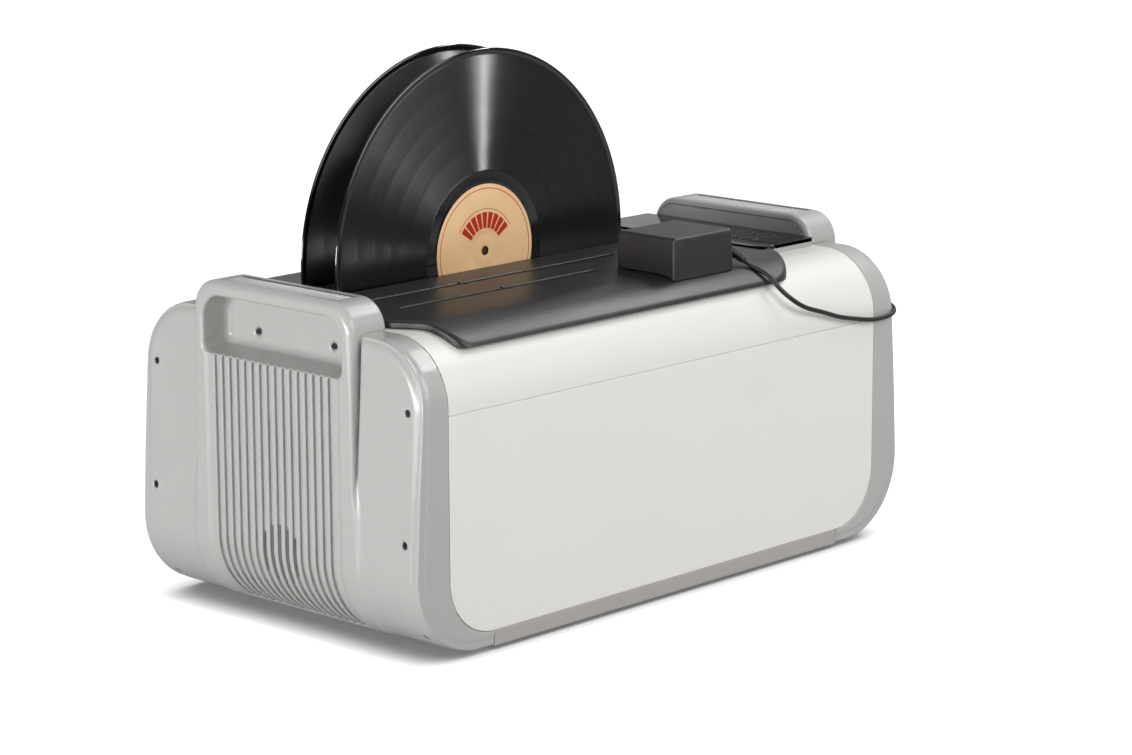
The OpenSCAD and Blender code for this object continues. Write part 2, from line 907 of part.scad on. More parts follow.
module switch_frame() {
    floor_y = half_depth - service_d;
    color("black")
        difference() {
            union() {
                translate([service_x + 28 - 11, floor_y, service_z - 16])
                    cube([22, 2, 32]);
                translate([service_x + 28 - 8.7, floor_y - 20, service_z - 13.7])
                    cube([17.4, 21, 27.4]);
            }
            translate([service_x + 28 - 7, floor_y - 12, service_z - 11.5])
                cube([14, 20, 23]);
        }
    color("silver")
        for (s = [-1, 1])
            translate([service_x + 28 + s * 7, floor_y - 4, service_z])
                rotate([0, -s * 90, 0])
                    cylinder(r = 1, h = 1.2);
}

module switch_rocker() {
    floor_y = half_depth - service_d;
    color("firebrick")
        translate([service_x + 28, floor_y - 4, service_z])
            rotate([6, 0, 0])
                difference() {
                    along_x(-6.6, 6.6)
                        polygon([[-5, -6], [4.5, -10], [6, -10], [5.2, 0], [6, 10], [4.5, 10], [-5, 6]]);
                    bar_x(-7, 7, 0, 0, 1 + run);
                }
}

// Carrier lid

// Points of a curve with four handles.
function bend(a, b, c, d, n) = [
    for (i = [0:n])
        let (t = i / n)
            pow(1 - t, 3) * a + 3 * pow(1 - t, 2) * t * b + 3 * (1 - t) * t * t * c + t * t * t * d
];

// The lid's front half seen from above, from the left end round the front to the right end.
function lid_front_edge(d) = concat(
    [[lid_left + d, 0], [lid_left + d, -ridge_half + 12]],
    bend(
        [lid_left + 1 + d, -ridge_half + 8], [lid_left + 6 + d, -ridge_half - 8],
        [lid_left + 16 + d, -ridge_half - 12], [lid_left + 16.5 + d, -ridge_half - 28], 8
    ),
    bend(
        [lid_left + 17 + d, -ridge_half - 32], [lid_left + 20 + d, -lid_half_y + 6],
        [lid_left + 23 + d, -lid_half_y + d], [lid_left + 34 + d, -lid_half_y + d], 6
    ),
    bend(
        [lid_right - 36 - d, -lid_half_y + d], [lid_right - 12 - d, -lid_half_y + d],
        [lid_right - 2 - d, -glass_depth / 2 - 24], [lid_right + 9 - d, -glass_depth / 2 - 6], 10
    ),
    [
        [lid_right + 10.5 - d, -glass_depth / 2 - 1.2 - d],
        [lid_right - d, -glass_depth / 2 - 1.2 - d],
        [lid_right - d, 0]
    ]
);

module lid_outline(d) {
    front = [for (p = lid_front_edge(d)) if (p[1] < 0) p];
    back = [for (i = [len(front) - 1:-1:0]) [front[i][0], -front[i][1]]];
    polygon(concat(front, back));
}

// Where one slot runs: [middle, half length, y].
slots = [
    [seven_x, seven_r + 12, seven_y],
    [ten_x, ten_r + 6, ten_y],
    [disc_x, disc_r + 3.5, twelve_y[0]],
    [disc_x, disc_r + 3.5, twelve_y[1]]
];

module lid_shell() {
    color("darkslategray")
        difference() {
            intersection() {
                along_x(-cover_half, cover_half)
                    difference() {
                        section(lid_rise, shoulder_z);
                        section(seat, shoulder_z - 1);
                    }
                along_z(shoulder_z, lid_top + 1)
                    lid_outline(0);
            }
            // The hollow underside leaves a rim all round.
            intersection() {
                along_x(-cover_half, cover_half)
                    section(lid_rise - lid_wall, shoulder_z - 1);
                along_z(shoulder_z - 1, lid_top)
                    lid_outline(lid_wall);
            }
            for (s = slots)
                translate([s[0], s[2], 0])
                    along_z(shoulder_z, lid_top + 1)
                        rounded_rect(2 * s[1], slot_w, slot_w / 2 - 0.1);
            // The belt comes up into the motor box here.
            translate([motor_x - 32.3, belt_y - belt_w / 2 - 1.2, shoulder_z])
                cube([46.3, belt_w + 2.4, 100]);
        }
}

module motor_box() {
    r = box_round;
    color("darkslategray")
        difference() {
            hull()
                for (x = [box_x0 + r, box_x1 - r])
                    for (y = [box_y0 + r, box_y1 - r]) {
                        translate([x, y, box_top - r])
                            sphere(r, $fn = 24);
                        translate([x, y, shoulder_z + 20])
                            cylinder(r = r, h = 1, $fn = 24);
                    }
            translate([box_x0 + box_wall, box_y0 + box_wall, shoulder_z])
                cube([box_len - 2 * box_wall, box_depth - 2 * box_wall, box_top - box_wall - shoulder_z]);
            along_x(box_x0 - 5, box_x1 + 5)
                section(lid_rise + seat, shoulder_z - 30);
            bar_x(box_x1 - 10, box_x1 + 5, jack_y, jack_z, jack_r + 0.2);
        }
}

module gear_motor() {
    y0 = box_y0 + box_wall + 2;
    y1 = belt_y - belt_w / 2 - 4;
    color("silver")
        difference() {
            union() {
                bar_y(y0, y1 - 10, motor_x, motor_z, motor_r);
                translate([motor_x - 12, y1 - 11, lid_top])
                    cube([24, 11, motor_z - lid_top + 11.5]);
            }
            bar_y(y1 - 9, y1 + 1, motor_x, motor_z, shaft_r + run);
        }
}

module dc_jack() {
    color("black")
        difference() {
            bar_x(box_x1 - 12, box_x1 + 0.4, jack_y, jack_z, jack_r);
            bar_x(box_x1 - 9, box_x1 + 1, jack_y, jack_z, 2.8);
        }
}

// The plug leaves the box along X and its ribbed relief bends down towards the cord.
relief_start = [box_x1 + 4, jack_y - 0.5, jack_z - 0.4];
relief_end = [box_x1 + 15, jack_y - 11.85, jack_z - 12];
module dc_plug() {
    way = relief_end - relief_start;
    reach = norm(way);
    tilt = acos(way[2] / reach);
    turn = atan2(way[1], way[0]);
    color("black") {
        bar_x(box_x1 - 7, box_x1 + 1.5, jack_y, jack_z, 2.6);
        bar_x(box_x1 + 0.6, box_x1 + 7, jack_y, jack_z, 4.4);
        translate(relief_start)
            rotate([0, tilt, turn]) {
                cylinder(r1 = 4, r2 = cord_d / 2 + 0.6, h = reach);
                for (i = [0:5])
                    translate([0, 0, reach * (0.36 + 0.105 * i)])
                        cylinder(r = 4.1 - 0.22 * i, h = 1);
            }
    }
}

// Carrier frame

// The plates hang from the lid and hold the shafts.
module plate_outline(x0, x1, low) {
    top = lid_top - lid_wall;
    difference() {
        translate([x0, low])
            square([x1 - x0, top - low]);
        for (s = [0, 1])
            mirror([s, 0])
                translate([(s == 0 ? x1 : -x0) - 14, low + 14])
                    mirror([0, 1])
                        corner_cut(14);
    }
}

module bore(x, z) {
    translate([x, z])
        circle(shaft_r + run);
}

module rod_holes() {
    for (x = [rod_left_x, rod_right_x])
        translate([x, rod_low_z])
            circle(rod_r + run);
}

// One plate at y, with a window under the discs and the bores named in holes.
module carrier_plate(y, holes) {
    color("gainsboro")
        along_y(y - plate_t / 2, y + plate_t / 2)
            difference() {
                plate_outline(plate_left, plate_right, plate_low);
                translate([disc_x - 30, twelve_z + 62])
                    rounded_rect(84, 46, 12);
                for (p = holes)
                    bore(p[0], p[1]);
                rod_holes();
            }
}

twelve_drive = [disc_x + twelve_half, twelve_z];
twelve_idle = [disc_x - twelve_half, twelve_z];
ten_drive = [ten_x + ten_half, ten_z];
ten_idle = [ten_x - ten_half, ten_z];
seven_drive = [seven_x + seven_half, seven_z];
seven_idle = [seven_x - seven_half, seven_z];
twelve_bores = [twelve_drive, twelve_idle];
ten_bores = [ten_drive, ten_idle];
seven_bores = [seven_drive, seven_idle];

module tie_rods() {
    color("silver")
        for (x = [rod_left_x, rod_right_x]) {
            bar_y(plate_front_y - plate_t / 2 - 1, plate_back_y + plate_t / 2 + 1, x, rod_low_z, rod_r);
            for (y = [plate_front_y - plate_t / 2 - 3.2, plate_back_y + plate_t / 2 + 0.2])
                bar_y(y, y + 3, x, rod_low_z, 5);
        }
}

// A rubber roller whose gutter takes the rim of a disc standing at y.
module roller(p, y) {
    translate([p[0], y, p[1]])
        rotate([-90, 0, 0])
            rotate_extrude()
                polygon([
                    [shaft_r, -roller_w / 2],
                    [flange_r - 0.8, -roller_w / 2],
                    [flange_r, -roller_w / 2 + 0.8],
                    [flange_r - 0.4, -gutter_w / 2 - 0.6],
                    [roller_r, -gutter_w / 2],
                    [roller_r, gutter_w / 2],
                    [flange_r - 0.4, gutter_w / 2 + 0.6],
                    [flange_r, roller_w / 2 - 0.8],
                    [flange_r - 0.8, roller_w / 2],
                    [shaft_r, roller_w / 2]
                ]);
}

module pulley(p) {
    bar_y(belt_y - belt_w / 2 - 1.2, belt_y + belt_w / 2 + 1.2, p[0], p[1], pulley_r);
    for (s = [-1, 1])
        bar_y(belt_y + s * (belt_w / 2 + 0.7) - 0.5, belt_y + s * (belt_w / 2 + 0.7) + 0.5,
            p[0], p[1], pulley_r + 2);
}

// A shaft from the front plate through the plate whose face is at y1, with collars inside both.
module shaft(p, y1, driven) {
    y0 = driven ? belt_y - belt_w / 2 - 1.2 : plate_front_y - plate_t / 2 - 1.5;
    bar_y(y0, y1 + plate_t + 1.5, p[0], p[1], shaft_r);
    bar_y(plate_front_y + plate_t / 2 + seat, plate_front_y + plate_t / 2 + 3, p[0], p[1], shaft_r + 2);
    bar_y(y1 - 3, y1 - seat, p[0], p[1], shaft_r + 2);
    if (driven)
        pulley(p);
}

twelve_end = plate_back_y - plate_t / 2;
ten_end = plate_ten_y - plate_t / 2;
seven_end = plate_seven_y - plate_t / 2;

module drive_shaft_twelve() {
    color("silver")
        shaft(twelve_drive, twelve_end, true);
}

module idler_shaft_twelve() {
    color("silver")
        shaft(twelve_idle, twelve_end, false);
}

module motor_pulley() {
    color("silver") {
        pulley([motor_x, motor_z]);
        bar_y(belt_y - belt_w / 2 - 12, belt_y, motor_x, motor_z, shaft_r);
    }
}

// The belt runs round the motor's pulley and the three drive pulleys.
module belt_loop(r) {
    hull()
        for (p = [[motor_x, motor_z], twelve_drive, ten_drive, seven_drive])
            translate(p)
                circle(r);
}

module drive_belt() {
    color("black")
        along_y(belt_y - belt_w / 2, belt_y + belt_w / 2)
            difference() {
                belt_loop(pulley_r + seat / 2 + belt_t);
                belt_loop(pulley_r + seat / 2);
            }
}

// Discs

// A pressed disc: raised rim, thinner playing area, raised label area.
module disc(y) {
    rim = disc_t / 2;
    play = rim - 0.25;
    color("black")
        translate([disc_x, y, disc_z])
            rotate([-90, 0, 0])
                rotate_extrude($fn = 128)
                    polygon([
                        [spindle_r, -rim], [label_r + 2, -rim], [label_r + 5, -play], [disc_r - 4, -play],
                        [disc_r - 2.5, -rim], [disc_r - 0.5, -rim + 0.1], [disc_r, -0.4],
                        [disc_r, 0.4], [disc_r - 0.5, rim - 0.1], [disc_r - 2.5, rim],
                        [disc_r - 4, play], [label_r + 5, play], [label_r + 2, rim], [spindle_r, rim]
                    ]);
}

module disc_labels(y) {
    color("burlywood")
        for (s = [0, 1])
            translate([disc_x, y, disc_z])
                mirror([0, s, 0])
                    translate([0, disc_t / 2, 0])
                        rotate([-90, 0, 0])
                            difference() {
                                cylinder(r = label_r, h = label_t, $fn = 128);
                                translate([0, 0, -1])
                                    cylinder(r = spindle_r, h = label_t + 2, $fn = 32);
                            }
}

// Cord

// The lead's way from the plug over the lid's front edge, round the right end and down behind.
cord_route = [
    relief_end, [114.5, -118, 227.3], [118.5, -131, 220.8], [122, -140, 211],
    [130, -146.5, 202], [143, -148, 195], [162, -148, 189], [182, -148, 182.5],
    [202, -148, 178], [222, -148, 174.5], [238, -147.5, 174], [250, -146, 175],
    [258, -141, 177.5], [263, -130, 180], [266, -112, 181], [267, -86, 180],
    [267, -50, 175], [267, 0, 160], [267, 50, 138], [267, 90, 112],
    [266, 120, 86], [262, 150, 58], [252, 180, 34], [236, 205, 16],
    [214, 225, 5], [200, 234, 2.2], [190, 236, 1.9], [184, 236, 1.9], [180, 236, 1.9]
];
coil_gap = 0.6;
coil_step = cord_d + coil_gap;
coil_mid_r = 20;
coil_out_r = coil_mid_r + coil_step * coil_turns / 4;
coil_end = cord_route[len(cord_route) - 1];
coil_centre = [coil_end[0] - 8, coil_end[1] - coil_out_r];
coil_low_z = coil_end[2];
coil_high_z = coil_low_z + cord_d + coil_gap;

function unit(v) = v / norm(v);

// Rings of points round the route: each ring stands square to the way there.
function way_at(path, i) =
    i == 0 ? unit(path[1] - path[0])
    : i == len(path) - 1 ? unit(path[i] - path[i - 1])
    : unit(unit(path[i + 1] - path[i]) + unit(path[i] - path[i - 1]));

// The sides are carried from ring to ring, so that the tube doesn't twist.
function carried_sides(path) = [
    for (
        i = 0, s = unit(cross(way_at(path, 0), [0.3, 0.2, 1]));
        i < len(path);
        i = i + 1,
        s = i < len(path) ? unit(s - (s * way_at(path, i)) * way_at(path, i)) : s
    ) s
];

module tube(path, r, sides) {
    n = len(path);
    across = carried_sides(path);
    points = [
        for (i = [0:n - 1])
            let (u = across[i])
            let (v = cross(way_at(path, i), u))
            for (k = [0:sides - 1])
                path[i] + r * (cos(360 * k / sides) * u + sin(360 * k / sides) * v)
    ];
    walls = [
        for (i = [0:n - 2])
            for (k = [0:sides - 1])
                let (a = i * sides + k)
                let (b = i * sides + (k + 1) % sides)
                for (t = [[a, a + sides, b], [b, a + sides, b + sides]])
                    t
    ];
    ends = [
        for (k = [1:sides - 2])
            for (t = [[0, k, k + 1], [(n - 1) * sides, (n - 1) * sides + k + 1, (n - 1) * sides + k]])
                t
    ];
    polyhedron(points = points, faces = concat(walls, ends), convexity = 8);
}

// A smooth way through the chosen points, with steps pieces between each two.
function smooth(path, steps) = concat(
    [
        for (i = [0:len(path) - 2])
            let (p0 = path[max(i - 1, 0)])
            let (p1 = path[i])
            let (p2 = path[i + 1])
            let (p3 = path[min(i + 2, len(path) - 1)])
            for (k = [0:steps - 1])
                let (t = k / steps)
                0.5 * (2 * p1 + (p2 - p0) * t + (2 * p0 - 5 * p1 + 4 * p2 - p3) * t * t
                    + (3 * p1 - p0 - 3 * p2 + p3) * t * t * t)
    ],
    [path[len(path) - 1]]
);

module cord() {
    color("black")
        tube(smooth(cord_route, 3), cord_d / 2, 8);
}

// The coil spirals in on the table, climbs one layer and spirals out again.
function coil_radius(t) =
    coil_out_r - coil_step * min(t, coil_turns - t);

function coil_rise(t) =
    let (s = min(1, max(0, (t - coil_turns / 2 + 0.25) / 0.5)))
    coil_low_z + (coil_high_z - coil_low_z) * s * s * (3 - 2 * s);

coil_points = [
    for (i = [0:24 * coil_turns])
        let (t = i / 24)
        let (a = 90 + 360 * t)
        [coil_centre[0] + coil_radius(t) * cos(a), coil_centre[1] + coil_radius(t) * sin(a), coil_rise(t)]
];
coil_exit = coil_points[len(coil_points) - 1];
coil_lead = [coil_exit[0] - 12, coil_exit[1], coil_exit[2]];
coil_path = concat([coil_end, coil_end - [4, 0, 0]], coil_points, [coil_lead, coil_lead - [4, 0, 0]]);

// The least room between two stretches of the coil, a quarter turn or more apart.
coil_least = min([
    for (i = [0:len(coil_points) - 1])
        for (j = [i + 8:1:len(coil_points) - 1])
            norm(coil_points[i] - coil_points[j])
]) - cord_d;
echo(coil_least_gap = coil_least);

module cord_coil() {
    color("black")
        tube(coil_path, cord_d / 2, 6);
}

// A small wall adapter lies beside the coil, its cord entry facing it.
module cord_adapter() {
    x1 = coil_lead[0] - 4;
    y = coil_lead[1];
    color("black")
        difference() {
            union() {
                bar_x(x1 - 10, x1, y, coil_lead[2], 3.2);
                translate([x1 - 10 - 30, y, 0])
                    along_z(0, 26)
                        rounded_rect(60, 38, 5);
            }
            translate([x1 - 80, y - 30, -2])
                cube([80, 60, 2]);
        }
    color("silver")
        for (s = [-1, 1])
            bar_x(x1 - 70 - 18, x1 - 69, y + s * 6, 13, 2);
}

base_tray();
foot(-1, -1);  // foot_front_left
foot(1, -1);  // foot_front_right
foot(-1, 1);  // foot_back_left
foot(1, 1);  // foot_back_right
front_panel();
back_panel();
top_cover();
color("silver") mirror([1, 0, 0]) end_cap();  // end_cap_left
color("silver") end_cap();  // end_cap_right
mirror([1, 0, 0]) cap_screws();  // cap_screws_left
cap_screws();  // cap_screws_right
mirror([1, 0, 0]) end_plate(true);  // end_plate_left
end_plate(false);  // end_plate_right
tank();
transducers();
tank_heater();
drain_valve();
drain_knob();
panel_bezel();
touch_glass();
control_board();
generator_board();
fan_frame();
fan_rotor();
power_inlet();
switch_frame();
switch_rocker();
lid_shell();
motor_box();
gear_motor();
dc_jack();
dc_plug();
carrier_plate(plate_front_y, concat(twelve_bores, ten_bores, seven_bores));  // plate_front
carrier_plate(plate_seven_y, concat(twelve_bores, ten_bores, seven_bores));  // plate_seven
carrier_plate(plate_ten_y, concat(twelve_bores, ten_bores));  // plate_ten
carrier_plate(plate_back_y, twelve_bores);  // plate_back
tie_rods();
motor_pulley();
drive_belt();
drive_shaft_twelve();
color("dimgray") for (y = twelve_y) roller(twelve_drive, y);  // drive_rollers_twelve
idler_shaft_twelve();
color("dimgray") for (y = twelve_y) roller(twelve_idle, y);  // idler_rollers_twelve
color("silver") { shaft(ten_drive, ten_end, true); roller(ten_drive, ten_y); }  // drive_shaft_ten
color("silver") { shaft(ten_idle, ten_end, false); roller(ten_idle, ten_y); }  // idler_shaft_ten
color("silver") { shaft(seven_drive, seven_end, true); roller(seven_drive, seven_y); }  // drive_shaft_seven
color("silver") { shaft(seven_idle, seven_end, false); roller(seven_idle, seven_y); }  // idler_shaft_seven
disc(twelve_y[0]);  // record_front
disc_labels(twelve_y[0]);  // record_front_labels
disc(twelve_y[1]);  // record_rear
disc_labels(twelve_y[1]);  // record_rear_labels
cord();
cord_coil();
cord_adapter();
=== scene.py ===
import math
import bpy
import bmesh
import numpy as np
from mathutils import Matrix, Vector


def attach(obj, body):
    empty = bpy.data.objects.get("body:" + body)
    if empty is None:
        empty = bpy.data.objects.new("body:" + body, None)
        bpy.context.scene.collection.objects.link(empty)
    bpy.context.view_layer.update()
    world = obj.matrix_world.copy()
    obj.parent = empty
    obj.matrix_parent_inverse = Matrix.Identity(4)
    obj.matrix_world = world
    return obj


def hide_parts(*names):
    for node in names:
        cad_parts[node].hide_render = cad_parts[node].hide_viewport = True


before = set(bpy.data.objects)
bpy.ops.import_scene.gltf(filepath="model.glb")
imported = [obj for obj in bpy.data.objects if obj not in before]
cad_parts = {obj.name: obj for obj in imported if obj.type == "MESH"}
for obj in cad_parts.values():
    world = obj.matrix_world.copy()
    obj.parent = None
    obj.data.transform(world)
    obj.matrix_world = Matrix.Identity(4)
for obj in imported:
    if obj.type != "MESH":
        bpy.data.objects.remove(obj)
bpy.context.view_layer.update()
print("frame loaded:", len(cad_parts), "nodes")

# camera, at the photograph's angle

cameraView = {
    "position": (-1.82680, -1.75677, 0.68684),
    "azimuth": -46.6925,
    "elevation": 12.1143,
    "roll": -0.2297,
    "lens": 109.67,
}


def placeCamera(view):
    az, el, roll = (math.radians(view[k]) for k in ("azimuth", "elevation", "roll"))
    back = Vector((math.sin(az) * math.cos(el), -math.cos(az) * math.cos(el), math.sin(el)))
    right = Vector((0, 0, 1)).cross(back).normalized()
    up = back.cross(right)
    rolledRight = right * math.cos(roll) + up * math.sin(roll)
    rolledUp = up * math.cos(roll) - right * math.sin(roll)
    data = bpy.data.cameras.new("camera")
    data.sensor_width = 36
    data.lens = view["lens"]
    data.clip_end = 50
    camera = bpy.data.objects.new("camera", data)
    turn = Matrix((rolledRight, rolledUp, back)).transposed()
    camera.matrix_world = Matrix.Translation(view["position"]) @ turn.to_4x4()
    bpy.context.collection.objects.link(camera)
    bpy.context.scene.camera = camera


placeCamera(cameraView)

# sizes shared by the housing's pieces, in millimetres

housing = {
    "halfDepth": 143.3,
    "bodyTop": 224,
    "shoulder": 47.3,
    "coverHalf": 230.5,
    "seam": 173,
    "panelLow": 14.5,
    "panelCorner": 42.5,
    "trayHalf": 187.5,
    "trayLow": 2.5,
    "discX": -32.4,
    "discZ": 242,
    "mouth": (160, 89, 20),
    "shell": 3,
}

# node helpers


class Graph:
    # short ways to add and join nodes in one tree
    def __init__(self, tree):
        self.tree = tree

    def add(self, kind, inputs=None, **settings):
        node = self.tree.nodes.new(kind)
        for key, value in settings.items():
            setattr(node, key, value)
        for key, value in (inputs or {}).items():
            socket = node.inputs[key]
            if isinstance(value, bpy.types.NodeSocket):
                self.tree.links.new(value, socket)
            else:
                socket.default_value = value
        return node

    def math(self, operation, *values, clamp=False):
        pairs = dict(enumerate(values))
        return self.add("ShaderNodeMath", pairs, operation=operation, use_clamp=clamp).outputs[0]

    def out(self, kind, inputs=None, **settings):
        return self.add(kind, inputs, **settings).outputs[0]

    def times(self, *values, **settings):
        return self.math("MULTIPLY", *values, **settings)

    def plus(self, *values, **settings):
        return self.math("ADD", *values, **settings)

    def noise(self, place, scale, detail):
        inputs = {"Vector": place, "Scale": scale, "Detail": detail}
        return self.add("ShaderNodeTexNoise", inputs).outputs["Fac"]

    def attribute(self, name):
        return self.add("ShaderNodeAttribute", attribute_name=name).outputs["Fac"]

    def between(self, value, low, high, soft):
        # 1 where value lies between low and high, fading out over soft
        rise = self.add("ShaderNodeMapRange", {"Value": value, "From Min": low - soft,
            "From Max": low + soft})
        fall = self.add("ShaderNodeMapRange", {"Value": value, "From Min": high + soft,
            "From Max": high - soft})
        return self.times(rise.outputs[0], fall.outputs[0])

    def ramp(self, value, low, high, first=0.0, last=1.0):
        inputs = {"Value": value, "From Min": low, "From Max": high, "To Min": first, "To Max": last}
        return self.add("ShaderNodeMapRange", inputs).outputs[0]

    def mix(self, share, first, second):
        node = self.add("ShaderNodeMix", data_type="RGBA")
        for key, value in ((0, share), (6, first), (7, second)):
            if isinstance(value, bpy.types.NodeSocket):
                self.tree.links.new(value, node.inputs[key])
            else:
                node.inputs[key].default_value = value
        return node.outputs[2]

    def wire(self, output, node, socket):
        self.tree.links.new(output, node.inputs[socket])


def srgb(red, green, blue):
    def line(c):
        c /= 255
        return c / 12.92 if c <= 0.04045 else ((c + 0.055) / 1.055) ** 2.4
    return (line(red), line(green), line(blue), 1.0)


def addSockets(tree, way, values):
    # each socket takes its kind from its value: a whole number, a number, a place or a colour
    for label, value in values.items():
        kind = {int: "Int", float: "Float"}.get(type(value)) or ("Color" if len(value) == 4 else "Vector")
        socket = tree.interface.new_socket(name=label, in_out=way, socket_type="NodeSocket" + kind)
        if way == "INPUT":
            socket.default_value = value


def shaderGroup(name, inputs, outputs, fill):
    tree = bpy.data.node_groups.new(name, "ShaderNodeTree")
    addSockets(tree, "INPUT", inputs)
    addSockets(tree, "OUTPUT", outputs)
    graph = Graph(tree)
    source = tree.nodes.new("NodeGroupInput")
    target = tree.nodes.new("NodeGroupOutput")
    for label, socket in fill(graph, source.outputs).items():
        tree.links.new(socket, target.inputs[label])
    return tree


def objectPoint(graph):
    return graph.add("ShaderNodeTexCoord").outputs["Object"]


# shader groups used by several finishes


def fillGrain(graph, given):
    # fine pebbled grain of a moulded surface; Size is the grain in millimetres
    scale = graph.math("DIVIDE", 1000.0, given["Size"])
    place = objectPoint(graph)
    cells = graph.add("ShaderNodeTexVoronoi", {"Vector": place, "Scale": scale}, feature="SMOOTH_F1")
    finer = graph.times(scale, 2.3)
    noise = graph.noise(place, finer, 2.0)
    height = graph.plus(graph.times(cells.outputs["Distance"], 0.8), graph.times(noise, 0.5))
    return {"Height": height, "Speckle": noise}


mouldedGrain = shaderGroup("mouldedGrain", {"Size": 0.8}, {"Height": 0.0, "Speckle": 0.0}, fillGrain)


def fillHandling(graph, given):
    # broad, faint patches that hands and wiping leave; Size is a patch in millimetres
    scale = graph.math("DIVIDE", 1000.0, given["Size"])
    place = objectPoint(graph)
    broad = graph.add("ShaderNodeTexNoise", {"Vector": place, "Scale": scale, "Detail": 4.0,
        "Roughness": 0.6})
    wiped = graph.out("ShaderNodeMapping", {"Vector": place, "Scale": (0.25, 1.0, 1.0)})
    streak = graph.add("ShaderNodeTexNoise", {"Vector": wiped, "Scale": graph.times(scale, 3.0),
        "Detail": 3.0})
    both = graph.plus(graph.times(broad.outputs["Fac"], 0.65), graph.times(streak.outputs["Fac"], 0.35))
    return {"Patch": graph.ramp(both, 0.36, 0.64)}


handlingMarks = shaderGroup("handlingMarks", {"Size": 80.0}, {"Patch": 0.0}, fillHandling)


def fillWearAndHighlight(graph, given):
    # rubbed edges, lighter with a painted highlight along them: the mesh carries how sharp it turns as the
    # value "edge"
    edge = graph.attribute("edge")
    noise = graph.noise(objectPoint(graph), 160.0, 5.0)
    broken = graph.ramp(noise, 0.35, 0.7)
    mask = graph.times(graph.times(edge, broken), given["Amount"], clamp=True)
    return {"Mask": mask, "Color": graph.mix(mask, given["Color"], given["WornHighlight"])}


edgeWearAndHighlight = shaderGroup("edgeWearAndHighlight", {"Color": (0.5, 0.5, 0.5, 1), "WornHighlight": (0.8, 0.8, 0.8, 1),
    "Amount": 0.3}, {"Mask": 0.0, "Color": (0, 0, 0, 1)}, fillWearAndHighlight)


def fillDustAndPaintedShade(graph, given):
    # dust that settles where the surface folds inwards, with painted shade where its colour is darker than
    # the surface; the mesh carries the folds as "fold"
    fold = graph.attribute("fold")
    noise = graph.noise(objectPoint(graph), 60.0, 6.0)
    mask = graph.times(graph.times(fold, graph.ramp(noise, 0.3, 0.7, 0.4, 1.0)), given["Amount"],
        clamp=True)
    return {"Mask": mask, "Color": graph.mix(mask, given["Color"], given["DustShade"])}


dustAndPaintedShade = shaderGroup("dustAndPaintedShade", {"Color": (0.5, 0.5, 0.5, 1), "DustShade": (0.3, 0.29, 0.27, 1),
    "Amount": 0.3}, {"Mask": 0.0, "Color": (0, 0, 0, 1)}, fillDustAndPaintedShade)


def fillBrushed(graph, given):
    # brush lines along X; Pitch is the spacing in millimetres
    scale = graph.math("DIVIDE", 1000.0, given["Pitch"])
    stretched = graph.out("ShaderNodeMapping", {"Vector": objectPoint(graph), "Scale": (0.02, 1.0, 1.0)})
    lines = graph.noise(stretched, scale, 3.0)
    return {"Height": lines, "Streak": graph.ramp(lines, 0.35, 0.65)}


brushedLines = shaderGroup("brushedLines", {"Pitch": 0.6}, {"Height": 0.0, "Streak": 0.0}, fillBrushed)


def material(name):
    made = bpy.data.materials.new(name)
    made.use_nodes = True
    graph = Graph(made.node_tree)
    made.node_tree.nodes.clear()
    shader = graph.add("ShaderNodeBsdfPrincipled")
    graph.add("ShaderNodeOutputMaterial", {"Surface": shader.outputs[0]})
    return made, graph, shader


def placeGroup(graph, tree, inputs=None):
    node = graph.tree.nodes.new("ShaderNodeGroup")
    node.node_tree = tree
    for key, value in (inputs or {}).items():
        if isinstance(value, bpy.types.NodeSocket):
            graph.tree.links.new(value, node.inputs[key])
        else:
            node.inputs[key].default_value = value
    return node


def bumped(graph, shader, height, depth, strength=1.0):
    # depth in millimetres
    node = graph.out("ShaderNodeBump", {"Height": height, "Distance": depth / 1000, "Strength": strength})
    graph.wire(node, shader, "Normal")


def mouldedFinish(name, look):
    # a moulded plastic or painted finish: colour variation, grain, handling marks, worn edges lightened
    # with a painted highlight, and dust that darkens the folds with painted shade
    made, graph, shader = material(name)
    color, wornHighlight = srgb(*look["color"]), srgb(*look["wornHighlight"])
    marks = placeGroup(graph, handlingMarks, {"Size": look.get("patch", 90.0)})
    grain = placeGroup(graph, mouldedGrain, {"Size": look["grain"]})
    shade = tuple(c * look.get("shade", 0.94) for c in color[:3]) + (1.0,)
    base = graph.mix(marks.outputs["Patch"], shade, color)
    speckled = graph.mix(graph.ramp(grain.outputs["Speckle"], 0.3, 0.7, 0.0, look.get("speckle", 0.06)),
        base, wornHighlight)
    # worn edges, lighter with a painted highlight
    wearHighlight = placeGroup(graph, edgeWearAndHighlight, {"Color": speckled, "WornHighlight": wornHighlight, "Amount": look.get("wearHighlight", 0.3)})
    # dust in the folds; on pale finishes its darker colour is painted shade
    dustShade = placeGroup(graph, dustAndPaintedShade, {"Color": wearHighlight.outputs["Color"],
        "Amount": look.get("dustShade", 0.25), "DustShade": look.get("dustShadeColor", srgb(120, 117, 110))})
    graph.wire(dustShade.outputs["Color"], shader, "Base Color")
    low, high = look["rough"]
    rough = graph.ramp(marks.outputs["Patch"], 0.0, 1.0, low, high)
    graph.wire(graph.plus(rough, graph.times(dustShade.outputs["Mask"], 0.3), clamp=True), shader, "Roughness")
    shader.inputs["Specular IOR Level"].default_value = look.get("specular", 0.5)
    shader.inputs["Metallic"].default_value = look.get("metallic", 0.0)
    shader.inputs["Coat Weight"].default_value = look.get("coat", 0.0)
    shader.inputs["Coat Roughness"].default_value = look.get("coatRough", 0.2)
    bumped(graph, shader, grain.outputs["Height"], look["depth"])
    return made


